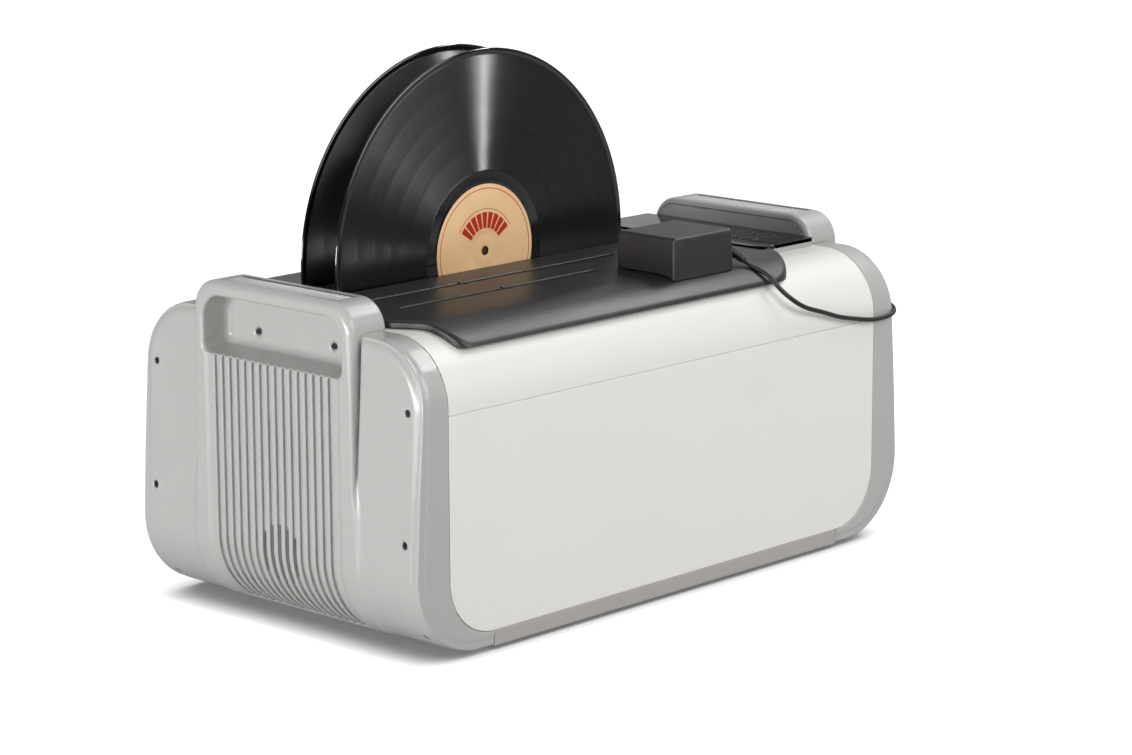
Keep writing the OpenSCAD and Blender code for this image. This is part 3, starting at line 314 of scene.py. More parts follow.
mouldedLooks = {
    "ivoryHousing": {"color": (237, 235, 230), "wornHighlight": (245, 244, 240), "grain": 0.9, "depth": 0.012,
        "rough": (0.34, 0.42), "shade": 0.985, "speckle": 0.03, "wearHighlight": 0.3, "dustShade": 0.5,
        "dustShadeColor": srgb(150, 147, 140), "specular": 0.4},
    "greyCap": {"color": (182, 181, 179), "wornHighlight": (208, 207, 205), "grain": 0.7, "depth": 0.012,
        "rough": (0.3, 0.38), "shade": 0.975, "speckle": 0.10, "wearHighlight": 0.35, "dustShade": 0.6,
        "dustShadeColor": srgb(78, 76, 74), "specular": 0.5, "coat": 0.4, "coatRough": 0.16},
    "greyTray": {"color": (178, 174, 170), "wornHighlight": (200, 198, 195), "grain": 0.8, "depth": 0.014,
        "rough": (0.4, 0.5), "wearHighlight": 0.3, "dustShade": 0.5},
    "greyBezel": {"color": (176, 176, 174), "wornHighlight": (205, 205, 203), "grain": 0.7, "depth": 0.01,
        "rough": (0.36, 0.46), "wearHighlight": 0.3},
    "blackLid": {"color": (30, 30, 31), "wornHighlight": (64, 64, 64), "grain": 0.95, "depth": 0.09,
        "rough": (0.34, 0.42), "shade": 0.9, "speckle": 0.22, "wearHighlight": 0.12, "dustShade": 0.3,
        "dustShadeColor": srgb(52, 51, 49), "specular": 0.5},
    "blackBox": {"color": (33, 33, 34), "wornHighlight": (66, 66, 66), "grain": 0.8, "depth": 0.075,
        "rough": (0.4, 0.47), "shade": 0.9, "speckle": 0.22, "wearHighlight": 0.6, "dustShade": 0.3,
        "dustShadeColor": srgb(60, 59, 56), "specular": 0.45},
    "blackFitting": {"color": (26, 26, 27), "wornHighlight": (58, 58, 58), "grain": 0.6, "depth": 0.02,
        "rough": (0.4, 0.52), "wearHighlight": 0.3},
    "greyValve": {"color": (92, 95, 97), "wornHighlight": (122, 124, 126), "grain": 0.9, "depth": 0.02,
        "rough": (0.42, 0.52)},
    "redKnob": {"color": (160, 34, 28), "wornHighlight": (196, 74, 64), "grain": 0.8, "depth": 0.02,
        "rough": (0.34, 0.44)},
    "footRubber": {"color": (34, 34, 34), "wornHighlight": (58, 57, 55), "grain": 0.5, "depth": 0.05,
        "rough": (0.75, 0.88), "speckle": 0.2},
    "rollerRubber": {"color": (52, 52, 53), "wornHighlight": (82, 81, 79), "grain": 0.5, "depth": 0.04,
        "rough": (0.62, 0.78), "speckle": 0.15},
    "heaterRubber": {"color": (176, 92, 48), "wornHighlight": (200, 122, 78), "grain": 1.2, "depth": 0.1,
        "rough": (0.6, 0.75), "speckle": 0.2},
    "cordRubber": {"color": (24, 24, 25), "wornHighlight": (52, 52, 52), "grain": 0.4, "depth": 0.015,
        "rough": (0.34, 0.46), "patch": 30.0, "speckle": 0.08},
}


finishes = {name: mouldedFinish(name, look) for name, look in mouldedLooks.items()}


def steelFinish(name, look):
    made, graph, shader = material(name)
    color = srgb(*look["color"])
    lines = placeGroup(graph, brushedLines, {"Pitch": look["pitch"]})
    marks = placeGroup(graph, handlingMarks, {"Size": 60.0})
    darker = tuple(c * 0.82 for c in color[:3]) + (1.0,)
    base = graph.mix(lines.outputs["Streak"], darker, color)
    # rubbed edges, lighter with a painted highlight
    wearHighlight = placeGroup(graph, edgeWearAndHighlight, {"Color": base, "WornHighlight": srgb(235, 235, 236), "Amount": 0.5})
    graph.wire(wearHighlight.outputs["Color"], shader, "Base Color")
    low, high = look["rough"]
    graph.wire(graph.ramp(marks.outputs["Patch"], 0.0, 1.0, low, high), shader, "Roughness")
    shader.inputs["Metallic"].default_value = 1.0
    bumped(graph, shader, lines.outputs["Height"], look["depth"])
    return made


steelLooks = {
    "bathSteel": {"color": (205, 206, 208), "pitch": 0.5, "rough": (0.24, 0.36), "depth": 0.02},
    "plateSteel": {"color": (196, 197, 199), "pitch": 0.4, "rough": (0.3, 0.42), "depth": 0.02},
    "sheetSteel": {"color": (182, 184, 188), "pitch": 1.2, "rough": (0.36, 0.5), "depth": 0.02},
    "turnedSteel": {"color": (176, 177, 179), "pitch": 0.3, "rough": (0.22, 0.34), "depth": 0.01},
    "screwSteel": {"color": (104, 104, 106), "pitch": 0.3, "rough": (0.3, 0.42), "depth": 0.01},
    "castMetal": {"color": (168, 169, 171), "pitch": 0.8, "rough": (0.42, 0.56), "depth": 0.03},
}
finishes.update({name: steelFinish(name, look) for name, look in steelLooks.items()})


def makeBoardFinish():
    # green board with copper tracks under the lacquer and tinned pads
    made, graph, shader = material("circuitBoard")
    place = objectPoint(graph)
    tracks = graph.add("ShaderNodeTexBrick", {"Vector": place, "Scale": 140.0, "Mortar Size": 0.03,
        "Color1": (0, 0, 0, 1), "Color2": (0, 0, 0, 1), "Mortar": (1, 1, 1, 1)})
    pads = graph.add("ShaderNodeTexVoronoi", {"Vector": place, "Scale": 220.0}, feature="F1")
    padMask = graph.between(pads.outputs["Distance"], -1.0, 0.16, 0.02)
    base = graph.mix(tracks.outputs["Color"], srgb(18, 74, 44), srgb(40, 112, 70))
    graph.wire(graph.mix(padMask, base, srgb(190, 184, 160)), shader, "Base Color")
    graph.wire(padMask, shader, "Metallic")
    graph.wire(graph.ramp(padMask, 0.0, 1.0, 0.3, 0.4), shader, "Roughness")
    bumped(graph, shader, tracks.outputs["Color"], 0.05)
    return made


finishes["circuitBoard"] = makeBoardFinish()


def makeGlassFinish():
    # black back-printed glass: deep, glossy, with faint wiping marks
    made, graph, shader = material("blackGlass")
    marks = placeGroup(graph, handlingMarks, {"Size": 40.0})
    graph.wire(graph.mix(marks.outputs["Patch"], srgb(12, 12, 14), srgb(17, 17, 19)), shader, "Base Color")
    graph.wire(graph.ramp(marks.outputs["Patch"], 0.0, 1.0, 0.04, 0.08), shader, "Roughness")
    return made


finishes["blackGlass"] = makeGlassFinish()


def makeVinylFinish():
    # pressed vinyl: the fine groove is carried by an anisotropic gloss that runs round the disc
    made, graph, shader = material("pressedVinyl")
    centre = graph.out("ShaderNodeMapping", {"Vector": objectPoint(graph), "Location": (
        -housing["discX"] / 1000, 0, -housing["discZ"] / 1000)})
    split = graph.add("ShaderNodeSeparateXYZ", {0: centre})
    radius = graph.times(graph.math("SQRT", graph.plus(
        graph.times(split.outputs[0], split.outputs[0]),
        graph.times(split.outputs[2], split.outputs[2]))), 1000.0)
    # louder and quieter passages read as rings of slightly different gloss
    ringPlace = graph.out("ShaderNodeCombineXYZ", {0: radius})
    rings = graph.noise(ringPlace, 0.9, 4.0)
    finer = graph.noise(ringPlace, 3.1, 2.0)
    ringShare = graph.ramp(graph.plus(graph.times(rings, 0.6), graph.times(finer, 0.4)), 0.36, 0.64)
    grooved = graph.between(radius, 60.0, 146.0, 0.6)
    base = graph.mix(graph.times(grooved, ringShare), srgb(8, 8, 10), srgb(13, 13, 16))
    graph.wire(base, shader, "Base Color")
    graph.wire(graph.ramp(graph.times(grooved, graph.ramp(ringShare, 0.0, 1.0, 0.85, 1.0)), 0.0, 1.0,
        0.12, 0.32), shader, "Roughness")
    shader.inputs["Specular IOR Level"].default_value = 1.0
    shader.inputs["Anisotropic"].default_value = 0.85
    tangent = graph.out("ShaderNodeTangent", direction_type="UV_MAP", uv_map="groove")
    graph.wire(tangent, shader, "Tangent")
    # the groove is finer than a pixel, so each point takes one of its two walls, which lean out and in
    outwards = graph.out("ShaderNodeVectorMath", {0: graph.out("ShaderNodeCombineXYZ", {
        0: split.outputs[0], 2: split.outputs[2]})}, operation="NORMALIZE")
    turn = graph.math("FRACT", graph.times(radius, 7.3))
    wall = graph.math("SUBTRACT", graph.times(graph.math("GREATER_THAN", turn, 0.5), 2.0), 1.0)
    lean = graph.times(graph.times(wall, grooved), graph.ramp(ringShare, 0.0, 1.0, 0.78, 0.98))
    leaning = graph.out("ShaderNodeVectorMath", {0: outwards, 3: lean}, operation="SCALE")
    upright = graph.add("ShaderNodeTexCoord").outputs["Normal"]
    wallNormal = graph.out("ShaderNodeVectorMath", {0: upright, 1: leaning}, operation="ADD")
    turned = graph.out("ShaderNodeVectorTransform", {"Vector": wallNormal}, vector_type="NORMAL",
        convert_from="OBJECT", convert_to="WORLD")
    graph.wire(turned, shader, "Normal")
    return made


finishes["pressedVinyl"] = makeVinylFinish()

labelPrint = {"ringRadius": 46.4, "archInner": 17.0, "archOuter": 29.0, "archHalf": 1.02, "rays": 9,
    "ruleTop": -15.0, "ruleLow": -35.0, "rulePitch": 4.0}


def makeLabelFinish(spec):
    # tan paper with a red fan over the hole, a fine red ring and dark rules below
    made, graph, shader = material("printedLabel")
    centre = graph.out("ShaderNodeMapping", {"Vector": objectPoint(graph), "Location": (
        -housing["discX"] / 1000, 0, -housing["discZ"] / 1000)})
    millimetres = graph.out("ShaderNodeVectorMath", {0: centre, 3: 1000.0}, operation="SCALE")
    split = graph.add("ShaderNodeSeparateXYZ", {0: millimetres})
    x, z = split.outputs[0], split.outputs[2]
    radius = graph.math("SQRT", graph.plus(graph.times(x, x), graph.times(z, z)))
    angle = graph.math("ARCTAN2", x, z)
    arch = graph.times(graph.between(radius, spec["archInner"], spec["archOuter"], 0.15),
        graph.between(angle, -spec["archHalf"], spec["archHalf"], 0.008))
    wave = graph.math("FRACT", graph.times(graph.plus(angle, spec["archHalf"]),
        spec["rays"] / (2 * spec["archHalf"])))
    fan = graph.times(arch, graph.between(wave, 0.1, 0.9, 0.03))
    ring = graph.between(radius, spec["ringRadius"], spec["ringRadius"] + 0.7, 0.15)
    inner = graph.between(radius, 31.2, 31.7, 0.12)
    innerArc = graph.times(inner, graph.between(angle, -spec["archHalf"], spec["archHalf"], 0.01))
    red = graph.math("MAXIMUM", graph.math("MAXIMUM", fan, ring), innerArc)
    # rows of rules whose length changes from row to row
    row = graph.math("DIVIDE", z, spec["rulePitch"])
    rowNumber = graph.math("FLOOR", row)
    rowPlace = graph.math("FRACT", row)
    random = graph.add("ShaderNodeTexWhiteNoise", {"W": rowNumber}, noise_dimensions="1D").outputs["Value"]
    reach = graph.ramp(random, 0.0, 1.0, 10.0, 24.0)
    rule = graph.times(graph.math("LESS_THAN", graph.math("ABSOLUTE", x), reach),
        graph.times(graph.between(rowPlace, 0.38, 0.58, 0.06),
        graph.between(z, spec["ruleLow"], spec["ruleTop"], 0.1)))
    fibres = graph.noise(objectPoint(graph), 900.0, 4.0)
    aged = graph.noise(objectPoint(graph), 28.0, 3.0)
    paper = graph.mix(graph.ramp(aged, 0.35, 0.65), srgb(246, 204, 154), srgb(238, 194, 142))
    paper = graph.mix(graph.ramp(fibres, 0.3, 0.7, 0.0, 0.12), paper, srgb(230, 200, 158))
    printed = graph.mix(red, paper, srgb(188, 44, 30))
    printed = graph.mix(graph.times(rule, 0.75), printed, srgb(70, 48, 34))
    graph.wire(printed, shader, "Base Color")
    graph.wire(graph.ramp(red, 0.0, 1.0, 0.5, 0.38), shader, "Roughness")
    bumped(graph, shader, fibres, 0.02)
    return made


finishes["printedLabel"] = makeLabelFinish(labelPrint)


def makePanelMarkFinish():
    made, graph, shader = material("panelMark")
    marks = placeGroup(graph, handlingMarks, {"Size": 20.0})
    graph.wire(graph.mix(marks.outputs["Patch"], srgb(104, 108, 114), srgb(128, 132, 138)), shader,
        "Base Color")
    graph.wire(graph.ramp(marks.outputs["Patch"], 0.0, 1.0, 0.3, 0.4), shader, "Roughness")
    return made


finishes["panelMark"] = makePanelMarkFinish()
print("finishes made:", len(finishes))

# mesh helpers


def linkPiece(name, mesh, finish=None):
    piece = bpy.data.objects.new(name, mesh)
    bpy.context.collection.objects.link(piece)
    if finish:
        for one in ([finish] if isinstance(finish, str) else finish):
            mesh.materials.append(finishes[one])
    return piece


def meshOf(name, points, faces, smooth=True):
    mesh = bpy.data.meshes.new(name)
    mesh.from_pydata([tuple(p) for p in np.asarray(points) / 1000], [], faces)
    mesh.polygons.foreach_set("use_smooth", [smooth] * len(mesh.polygons))
    mesh.update()
    return mesh


def smoothed(mesh, angle=180):
    # smooth shading, apart from edges that turn by more than angle
    mesh.polygons.foreach_set("use_smooth", [True] * len(mesh.polygons))
    if angle < 180:
        mesh.set_sharp_from_angle(angle=math.radians(angle))
    return mesh


def joinedMesh(name, parts):
    work = bmesh.new()
    for part in parts:
        work.from_mesh(part)
    mesh = bpy.data.meshes.new(name)
    work.to_mesh(mesh)
    work.free()
    return mesh


def facesOut(mesh):
    work = bmesh.new()
    work.from_mesh(mesh)
    bmesh.ops.remove_doubles(work, verts=work.verts, dist=1e-6)
    bmesh.ops.recalc_face_normals(work, faces=work.faces)
    work.to_mesh(mesh)
    work.free()
    return mesh


def catmullRom(points, steps):
    # a smooth way through the points, with steps pieces between each two
    points = [np.array(p, float) for p in points]
    way = []
    for i in range(len(points) - 1):
        p0, p1, p2 = points[max(i - 1, 0)], points[i], points[i + 1]
        p3 = points[min(i + 2, len(points) - 1)]
        for k in range(steps):
            t = k / steps
            way.append(0.5 * (2 * p1 + (p2 - p0) * t + (2 * p0 - 5 * p1 + 4 * p2 - p3) * t * t
                + (3 * p1 - p0 - 3 * p2 + p3) * t ** 3))
    way.append(points[-1])
    return np.array(way)


def tubeMesh(name, path, radius, sides):
    # rings of points square to the way, carried along without twisting
    path = np.asarray(path, float)
    count = len(path)
    radii = np.broadcast_to(radius, count)
    ways = np.gradient(path, axis=0)
    ways /= np.linalg.norm(ways, axis=1)[:, None]
    across = np.cross(ways[0], [0.0, 0.0, 1.0] if abs(ways[0][2]) < 0.9 else [1.0, 0.0, 0.0])
    rings = []
    angles = np.arange(sides) * 2 * math.pi / sides
    for i in range(count):
        across = across - ways[i] * across.dot(ways[i])
        across /= np.linalg.norm(across)
        side = np.cross(ways[i], across)
        spokes = np.cos(angles)[:, None] * across + np.sin(angles)[:, None] * side
        rings.append(path[i] + radii[i] * spokes)
    points = np.concatenate(rings + [path[:1], path[-1:]])
    faces = []
    for i in range(count - 1):
        for k in range(sides):
            a, b = i * sides + k, i * sides + (k + 1) % sides
            faces.append((a, b, b + sides, a + sides))
    start, end = count * sides, count * sides + 1
    for k in range(sides):
        faces.append((start, (k + 1) % sides, k))
        faces.append((end, (count - 1) * sides + k, (count - 1) * sides + (k + 1) % sides))
    return facesOut(meshOf(name, points, faces))


def turnedMesh(name, profile, centre, axis, segments):
    # profile: (radius, height) pairs turned round the axis through centre; a pair at radius 0 closes an end
    axis = np.array(axis, float) / np.linalg.norm(axis)
    u = np.cross(axis, [0.0, 0.0, 1.0] if abs(axis[2]) < 0.9 else [1.0, 0.0, 0.0])
    u /= np.linalg.norm(u)
    w = np.cross(axis, u)
    angles = np.arange(segments) * 2 * math.pi / segments
    spokes = np.cos(angles)[:, None] * u + np.sin(angles)[:, None] * w
    points, rows = [], []
    for radius, height in profile:
        base = np.array(centre, float) + axis * height
        if radius < 1e-6:
            rows.append([len(points)] * segments)
            points.append(base)
        else:
            rows.append(list(range(len(points), len(points) + segments)))
            points.extend(base + radius * spokes)
    faces = []
    for a, b in zip(rows[:-1], rows[1:]):
        for k in range(segments):
            n = (k + 1) % segments
            face = []
            for v in (a[k], a[n], b[n], b[k]):
                if v not in face:
                    face.append(v)
            if len(face) > 2:
                faces.append(face)
    return facesOut(meshOf(name, points, faces))


# the carrier's lead, its coil and what is on it

lead = {
    "diameter": 3.6,
    "length": 1.3,
    "turns": 5,
    "coilCentre": (172.0, 210.75),
    "coilRadius": 25.25,
    "coilStep": 4.2,
    "coilLow": 1.9,
    "coilHigh": 6.1,
    "route": [
        (111, -114, 231), (114.5, -118, 227.3), (118.5, -131, 220.8), (122, -140, 211), (130, -146.5, 202),
        (143, -148, 195), (162, -148, 189), (182, -148, 182.5), (202, -148, 178), (222, -148, 174.5),
        (238, -147.5, 174), (250, -146, 175), (258, -141, 177.5), (263, -130, 180), (266, -112, 181),
        (267, -86, 180), (267, -50, 175), (267, 0, 160), (267, 50, 138), (267, 90, 112), (266, 120, 86),
        (262, 150, 58), (252, 180, 34), (236, 205, 16), (214, 225, 5), (200, 234, 2.2), (190, 236, 1.9),
        (184, 236, 1.9), (180, 236, 1.9)],
}


def coilPoints(spec, perTurn):
    way = []
    for i in range(perTurn * spec["turns"] + 1):
        t = i / perTurn
        angle = math.radians(90 + 360 * t)
        radius = spec["coilRadius"] - spec["coilStep"] * min(t, spec["turns"] - t)
        share = min(1, max(0, (t - spec["turns"] / 2 + 0.25) / 0.5))
        rise = spec["coilLow"] + (spec["coilHigh"] - spec["coilLow"]) * share * share * (3 - 2 * share)
        way.append((spec["coilCentre"][0] + radius * math.cos(angle),
            spec["coilCentre"][1] + radius * math.sin(angle), rise))
    return way


def leadWay(spec, perTurn, steps):
    coil = coilPoints(spec, perTurn)
    end = coil[-1]
    tail = [(end[0] - reach, end[1], end[2]) for reach in (6, 12, 16, 26, 36)]
    route = [tuple(p) for p in (catmullRom(spec["route"], steps) if steps > 1 else spec["route"])]
    return route + [(176, 236, 1.9)] + coil + tail


cordPiece = linkPiece("carrierLead", tubeMesh("carrierLead", leadWay(lead, 40, 6), lead["diameter"] / 2,
    12), "cordRubber")
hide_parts("cord", "cord_coil")
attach(cordPiece, "carrier")

plug = {"start": (100.0, -102.65, 242.6), "end": (111.0, -114.0, 231.0), "ribs": 6,
    "jack": (96.0, -102.15, 243.0)}


def makePlug(spec):
    # a stub that enters the jack, a collar, then the ribbed relief that bends towards the lead
    start, end = np.array(spec["start"]), np.array(spec["end"])
    reach = float(np.linalg.norm(end - start))
    profile = [(0, -1.5), (3.2, -1.5), (4.0, -0.6), (4.0, 1.6)]
    for i in range(spec["ribs"]):
        at = reach * (0.2 + 0.13 * i)
        radius = 4.4 - 0.22 * i
        profile += [(radius - 0.75, at - 0.55), (radius, at - 0.25), (radius, at + 0.25),
            (radius - 0.75, at + 0.55)]
    profile += [(2.25, reach - 0.4), (1.9, reach), (0, reach)]
    relief = turnedMesh("relief", profile, start, end - start, 28)
    barrel = turnedMesh("barrel", [(0, -7), (2.6, -7), (2.6, 0.6), (4.8, 0.6), (5.2, 1.0), (5.2, 5.6),
        (4.6, 6.5), (0, 6.9)], spec["jack"], (1, 0, 0), 28)
    return smoothed(joinedMesh("plugRelief", [relief, barrel]), 40)


plugPiece = linkPiece("leadPlug", makePlug(plug), "cordRubber")
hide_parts("dc_plug")
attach(plugPiece, "carrier")

# solids from fields of distance


def span2(a, b):
    return np.sqrt(a * a + b * b)


def roundMax(a, b, r):
    # the overlap of two solids, with the edge between them rounded by r
    return np.minimum(-r, np.maximum(a, b)) + span2(np.maximum(a + r, 0), np.maximum(b + r, 0))


def roundMin(a, b, r):
    # two solids joined with a fillet of r
    return -roundMax(-a, -b, r)


def softStep(value, low, high):
    share = np.clip((value - low) / (high - low), 0, 1)
    return share * share * (3 - 2 * share)


def gridRow(start, *legs):
    # a rising row of numbers: each leg is (end, step)
    row = [start]
    for end, step in legs:
        count = max(1, round((end - row[-1]) / step))
        row += list(np.linspace(row[-1], end, count + 1)[1:])
    return np.array(row)


def netOfField(field, xs, ys, zs):
    lines = (xs, ys, zs)
    value = np.broadcast_to(field(xs[:, None, None], ys[None, :, None], zs[None, None, :]),
        (len(xs), len(ys), len(zs)))
    inside = value < 0
    count = np.zeros([n - 1 for n in inside.shape], np.int8)
    for i in (0, 1):
        for j in (0, 1):
            for k in (0, 1):
                count += inside[i:i + count.shape[0], j:j + count.shape[1], k:k + count.shape[2]]
    mixed = (count > 0) & (count < 8)
    number = np.full(count.shape, -1, np.int64)
    number[mixed] = np.arange(mixed.sum())
    total = np.zeros((int(mixed.sum()), 3))
    hits = np.zeros(len(total))
    quads, tiles = [], []
    for axis in range(3):
        low = tuple(slice(0, -1) if d == axis else slice(None) for d in range(3))
        high = tuple(slice(1, None) if d == axis else slice(None) for d in range(3))
        crossing = np.argwhere(inside[low] != inside[high])
        first = value[low][tuple(crossing.T)]
        second = value[high][tuple(crossing.T)]
        point = np.stack([lines[d][crossing[:, d]] for d in range(3)], 1)
        step = lines[axis][crossing[:, axis] + 1] - lines[axis][crossing[:, axis]]
        point[:, axis] += step * first / (first - second)
        u, w = (axis + 1) % 3, (axis + 2) % 3
        around = []
        for du, dw in ((0, 0), (-1, 0), (-1, -1), (0, -1)):
            cell = crossing.copy()
            cell[:, u] += du
            cell[:, w] += dw
            valid = np.all((cell >= 0) & (cell < count.shape), axis=1)
            index = np.where(valid, number[tuple(np.clip(cell, 0, np.array(count.shape) - 1).T)], -1)
            known = index >= 0
            for d in range(3):
                total[:, d] += np.bincount(index[known], weights=point[known, d], minlength=len(total))
            hits += np.bincount(index[known], minlength=len(total))
            around.append(index)
        quad = np.stack(around, 1)
        whole = np.all(quad >= 0, axis=1)
        quad, turned = quad[whole], first[whole] > 0
        quad[turned] = quad[turned][:, ::-1]
        quads.append(quad)
        block = crossing[whole] // 8
        tiles.append((block[:, u] * 4096 + block[:, w]) * 3 + axis)
    points = total / hits[:, None]
    cell = np.argwhere(mixed)
    reach = np.stack([np.diff(lines[d])[cell[:, d]] for d in range(3)], 1) * 0.8
    return points, np.concatenate(quads), np.concatenate(tiles), reach


def slopeOf(field, p, h):
    slope = np.empty_like(p)
    for d in range(3):
        ahead, behind = p.copy(), p.copy()
        ahead[:, d] += h
        behind[:, d] -= h
        slope[:, d] = (field(*ahead.T) - field(*behind.T)) / (2 * h)
    return slope


def moldedMesh(name, field, xs, ys, zs, edgeReach=1.2):
    # nets the field's surface, draws the net onto it, joins what is flat, and keeps the field's own normals
    points, quads, tiles, reach = netOfField(field, xs, ys, zs)
    start = points.copy()
    for _ in range(4):
        slope = slopeOf(field, points, 0.02)
        size = np.maximum((slope * slope).sum(1), 0.25)
        points = points - slope * (field(*points.T) / size)[:, None]
        points = start + np.clip(points - start, -reach, reach)
    facing = slopeOf(field, points, 0.03)
    facing /= np.maximum(np.linalg.norm(facing, axis=1), 1e-9)[:, None]
    inner = field(*(points - facing * edgeReach).T)
    outer = field(*(points + facing * edgeReach * 1.6).T)
    edge = np.clip((inner + edgeReach) / edgeReach * 1.6, 0, 1)
    fold = np.clip((edgeReach * 1.6 - outer) / (edgeReach * 1.6) * 1.4, 0, 1)

    mesh = bpy.data.meshes.new(name)
    mesh.vertices.add(len(points))
    mesh.vertices.foreach_set("co", (points / 1000).ravel())
    mesh.loops.add(quads.size)
    mesh.loops.foreach_set("vertex_index", quads.ravel().astype(np.int32))
    mesh.polygons.add(len(quads))
    mesh.polygons.foreach_set("loop_start", np.arange(0, quads.size, 4, dtype=np.int32))
    mesh.update(calc_edges=True)
    for label, kind, data in (("facing", "FLOAT_VECTOR", facing), ("edge", "FLOAT", edge),
            ("fold", "FLOAT", fold)):
        layer = mesh.attributes.new(label, kind, "POINT")
        layer.data.foreach_set("vector" if kind == "FLOAT_VECTOR" else "value",
            np.ascontiguousarray(data).ravel())

    # an edge goes where both faces beside it are flat and face the same way, within one tile of the grid
    corner = facing[quads]
    middle = corner.mean(1)
    middle /= np.maximum(np.linalg.norm(middle, axis=1), 1e-9)[:, None]
    flat = (corner * middle[:, None]).sum(2).min(1) > 0.99998
    loopEdge = np.empty(len(mesh.loops), np.int32)
    mesh.loops.foreach_get("edge_index", loopEdge)
    beside = np.repeat(np.arange(len(quads)), 4)
    one, other = np.zeros(len(mesh.edges), np.int64), np.zeros(len(mesh.edges), np.int64)
    one[loopEdge] = beside
    other[loopEdge[::-1]] = beside[::-1]
    level = flat[one] & flat[other] & (one != other) & ((middle[one] * middle[other]).sum(1) > 0.99998)
    loose = level & (tiles[one] == tiles[other])
    ends = np.empty(len(mesh.edges) * 2, np.int32)
    mesh.edges.foreach_get("vertices", ends)
    ends = ends.reshape(-1, 2)
    whole = np.bincount(ends.ravel(), minlength=len(points)) == np.bincount(ends[level].ravel(),
        minlength=len(points))
    work = bmesh.new()
    work.from_mesh(mesh)
    work.edges.ensure_lookup_table()
    work.verts.ensure_lookup_table()
    bmesh.ops.dissolve_limit(work, angle_limit=math.radians(1.5), use_dissolve_boundaries=False,
        verts=[work.verts[i] for i in np.nonzero(whole)[0]],
        edges=[work.edges[i] for i in np.nonzero(loose)[0]], delimit=set())
    work.to_mesh(mesh)
    work.free()
    keepFacing(mesh)
    return mesh


def keepFacing(mesh):
    # the shading normals come from the field, stored in "facing"
    layer = mesh.attributes["facing"]
    facing = np.empty(len(mesh.vertices) * 3, np.float32)
    layer.data.foreach_get("vector", facing)
    facing = facing.reshape(-1, 3)
    mesh.polygons.foreach_set("use_smooth", [True] * len(mesh.polygons))
    mesh.normals_split_custom_set_from_vertices(facing)
    mesh.update()


def mirroredMesh(name, source):
    # the same mesh on the other end of the machine
    mesh = source.copy()
    mesh.name = name
    facing = np.empty(len(mesh.vertices) * 3, np.float32)
    mesh.attributes["facing"].data.foreach_get("vector", facing)
    facing = facing.reshape(-1, 3) * np.array([-1, 1, 1], np.float32)
    mesh.attributes["facing"].data.foreach_set("vector", facing.ravel())
    mesh.transform(Matrix.Diagonal((-1, 1, 1, 1)))
    mesh.flip_normals()
    keepFacing(mesh)
    return mesh


def addMolded(name, mesh, finish, body, nodes):
    piece = linkPiece(name, mesh, finish)
    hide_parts(*nodes)
    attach(piece, body)
    triangles = sum(len(p.vertices) - 2 for p in mesh.polygons)
    print(f"{name}: {len(mesh.polygons)} faces, {triangles} triangles")
    return piece


def mold(name, field, lines, finish, body, node):
    return addMolded(name, moldedMesh(name, field, *lines), finish, body, [node])


def sectionField(y, z, d=0.0):
    # the housing's section, grown by d
    reach = housing["halfDepth"] + d
    return roundMax(np.abs(y) - reach, z - (housing["bodyTop"] + d), housing["shoulder"] + d)


def coversField(x, z, gap):
    # the space in X and Z that cover, panels and tray fill
    low = housing["panelLow"] - gap
    body = roundMax(x - (housing["coverHalf"] + gap), low - z, housing["panelCorner"] + gap)
    body = np.maximum(body, z - (housing["bodyTop"] + gap))
    tray = np.maximum(x - (housing["trayHalf"] + gap), z - 60)
    return np.minimum(body, tray)


# end caps

cap = {
    "ridgeHalf": 81.5,
    "tuckX": 202.5,
    "tuckZ": 62.5,
    "tuckRadius": 60.0,
    "lobeRadius": 59.0,
    "lobeLean": 2.705,
    "closeLow": 96.0,
    "closeHigh": 128.0,
    "lobeEdge": 9.0,
    "handleTop": 246.0,
    "handleCorner": 22.0,
    "handleBack": 227.0,
    "recessHalf": 71.0,
    "recessTop": 235.0,
    "recessLow": 193.0,
    "recessBack": 238.5,
    "recessCorner": 17.0,
    "groovePitch": 7.81,
    "grooveWidth": 3.6,
    "grooveDepth": 2.6,
    "grooveLow": 11.0,
    "ventHalf": 1.45,
    "ventLow": 36.0,
    "ventHigh": 79.0,
    "sunkHalf": 68.5,
    "sunk": 1.1,
    "screwY": 129.7,
    "screwZ": [177.6, 86.5, 17.5],
    "recessScrews": 39.0,
    "recessScrewZ": 208.4,
    "headRadius": 3.3,
    "boreRadius": 2.6,
    "seatDepth": 2.6,
    "bossRadius": 5,
    "bossReach": 26,
    "shell": 3,
    "faceWall": 7,
    "backLineInset": 7.5,
    "ventReach": 13.6,
    "pocketHalf": 24,
    "pocketLow": 32,
    "pocketHigh": 85,
    "pocketWall": 5.0,
    "pocketBack": 244,
    "gripX": 245,
    "bedHalf": 58.4,
    "bedWide": 10.6,
    "bedDeep": 1.3,
    "lineInset": 5,
    "lineHalf": 0.45,
}


def tuckFace(x, z, radius, lean):
    # a face that leans by lean degrees and curves in under the machine below the tuck's centre
    u, w = x - cap["tuckX"], z - cap["tuckZ"]
    c, s = math.cos(math.radians(lean)), math.sin(math.radians(lean))
    leaning = np.maximum(u * c + w * s - radius, -w - radius)
    return np.where((u > 0) & (w * c <= u * s), span2(u, w) - radius, leaning)


def lobeFaceX(z):
    u = cap["lobeRadius"]
    lean = math.radians(cap["lobeLean"])
    w = z - cap["tuckZ"]
    if w < math.tan(lean) * u:
        return cap["tuckX"] + math.sqrt(u * u - w * w)
    return cap["tuckX"] + (u - w * math.sin(lean)) / math.cos(lean)


def screwSeatX(z):
    low = z - cap["headRadius"] if z < cap["tuckZ"] else z
    return lobeFaceX(low) - cap["seatDepth"]


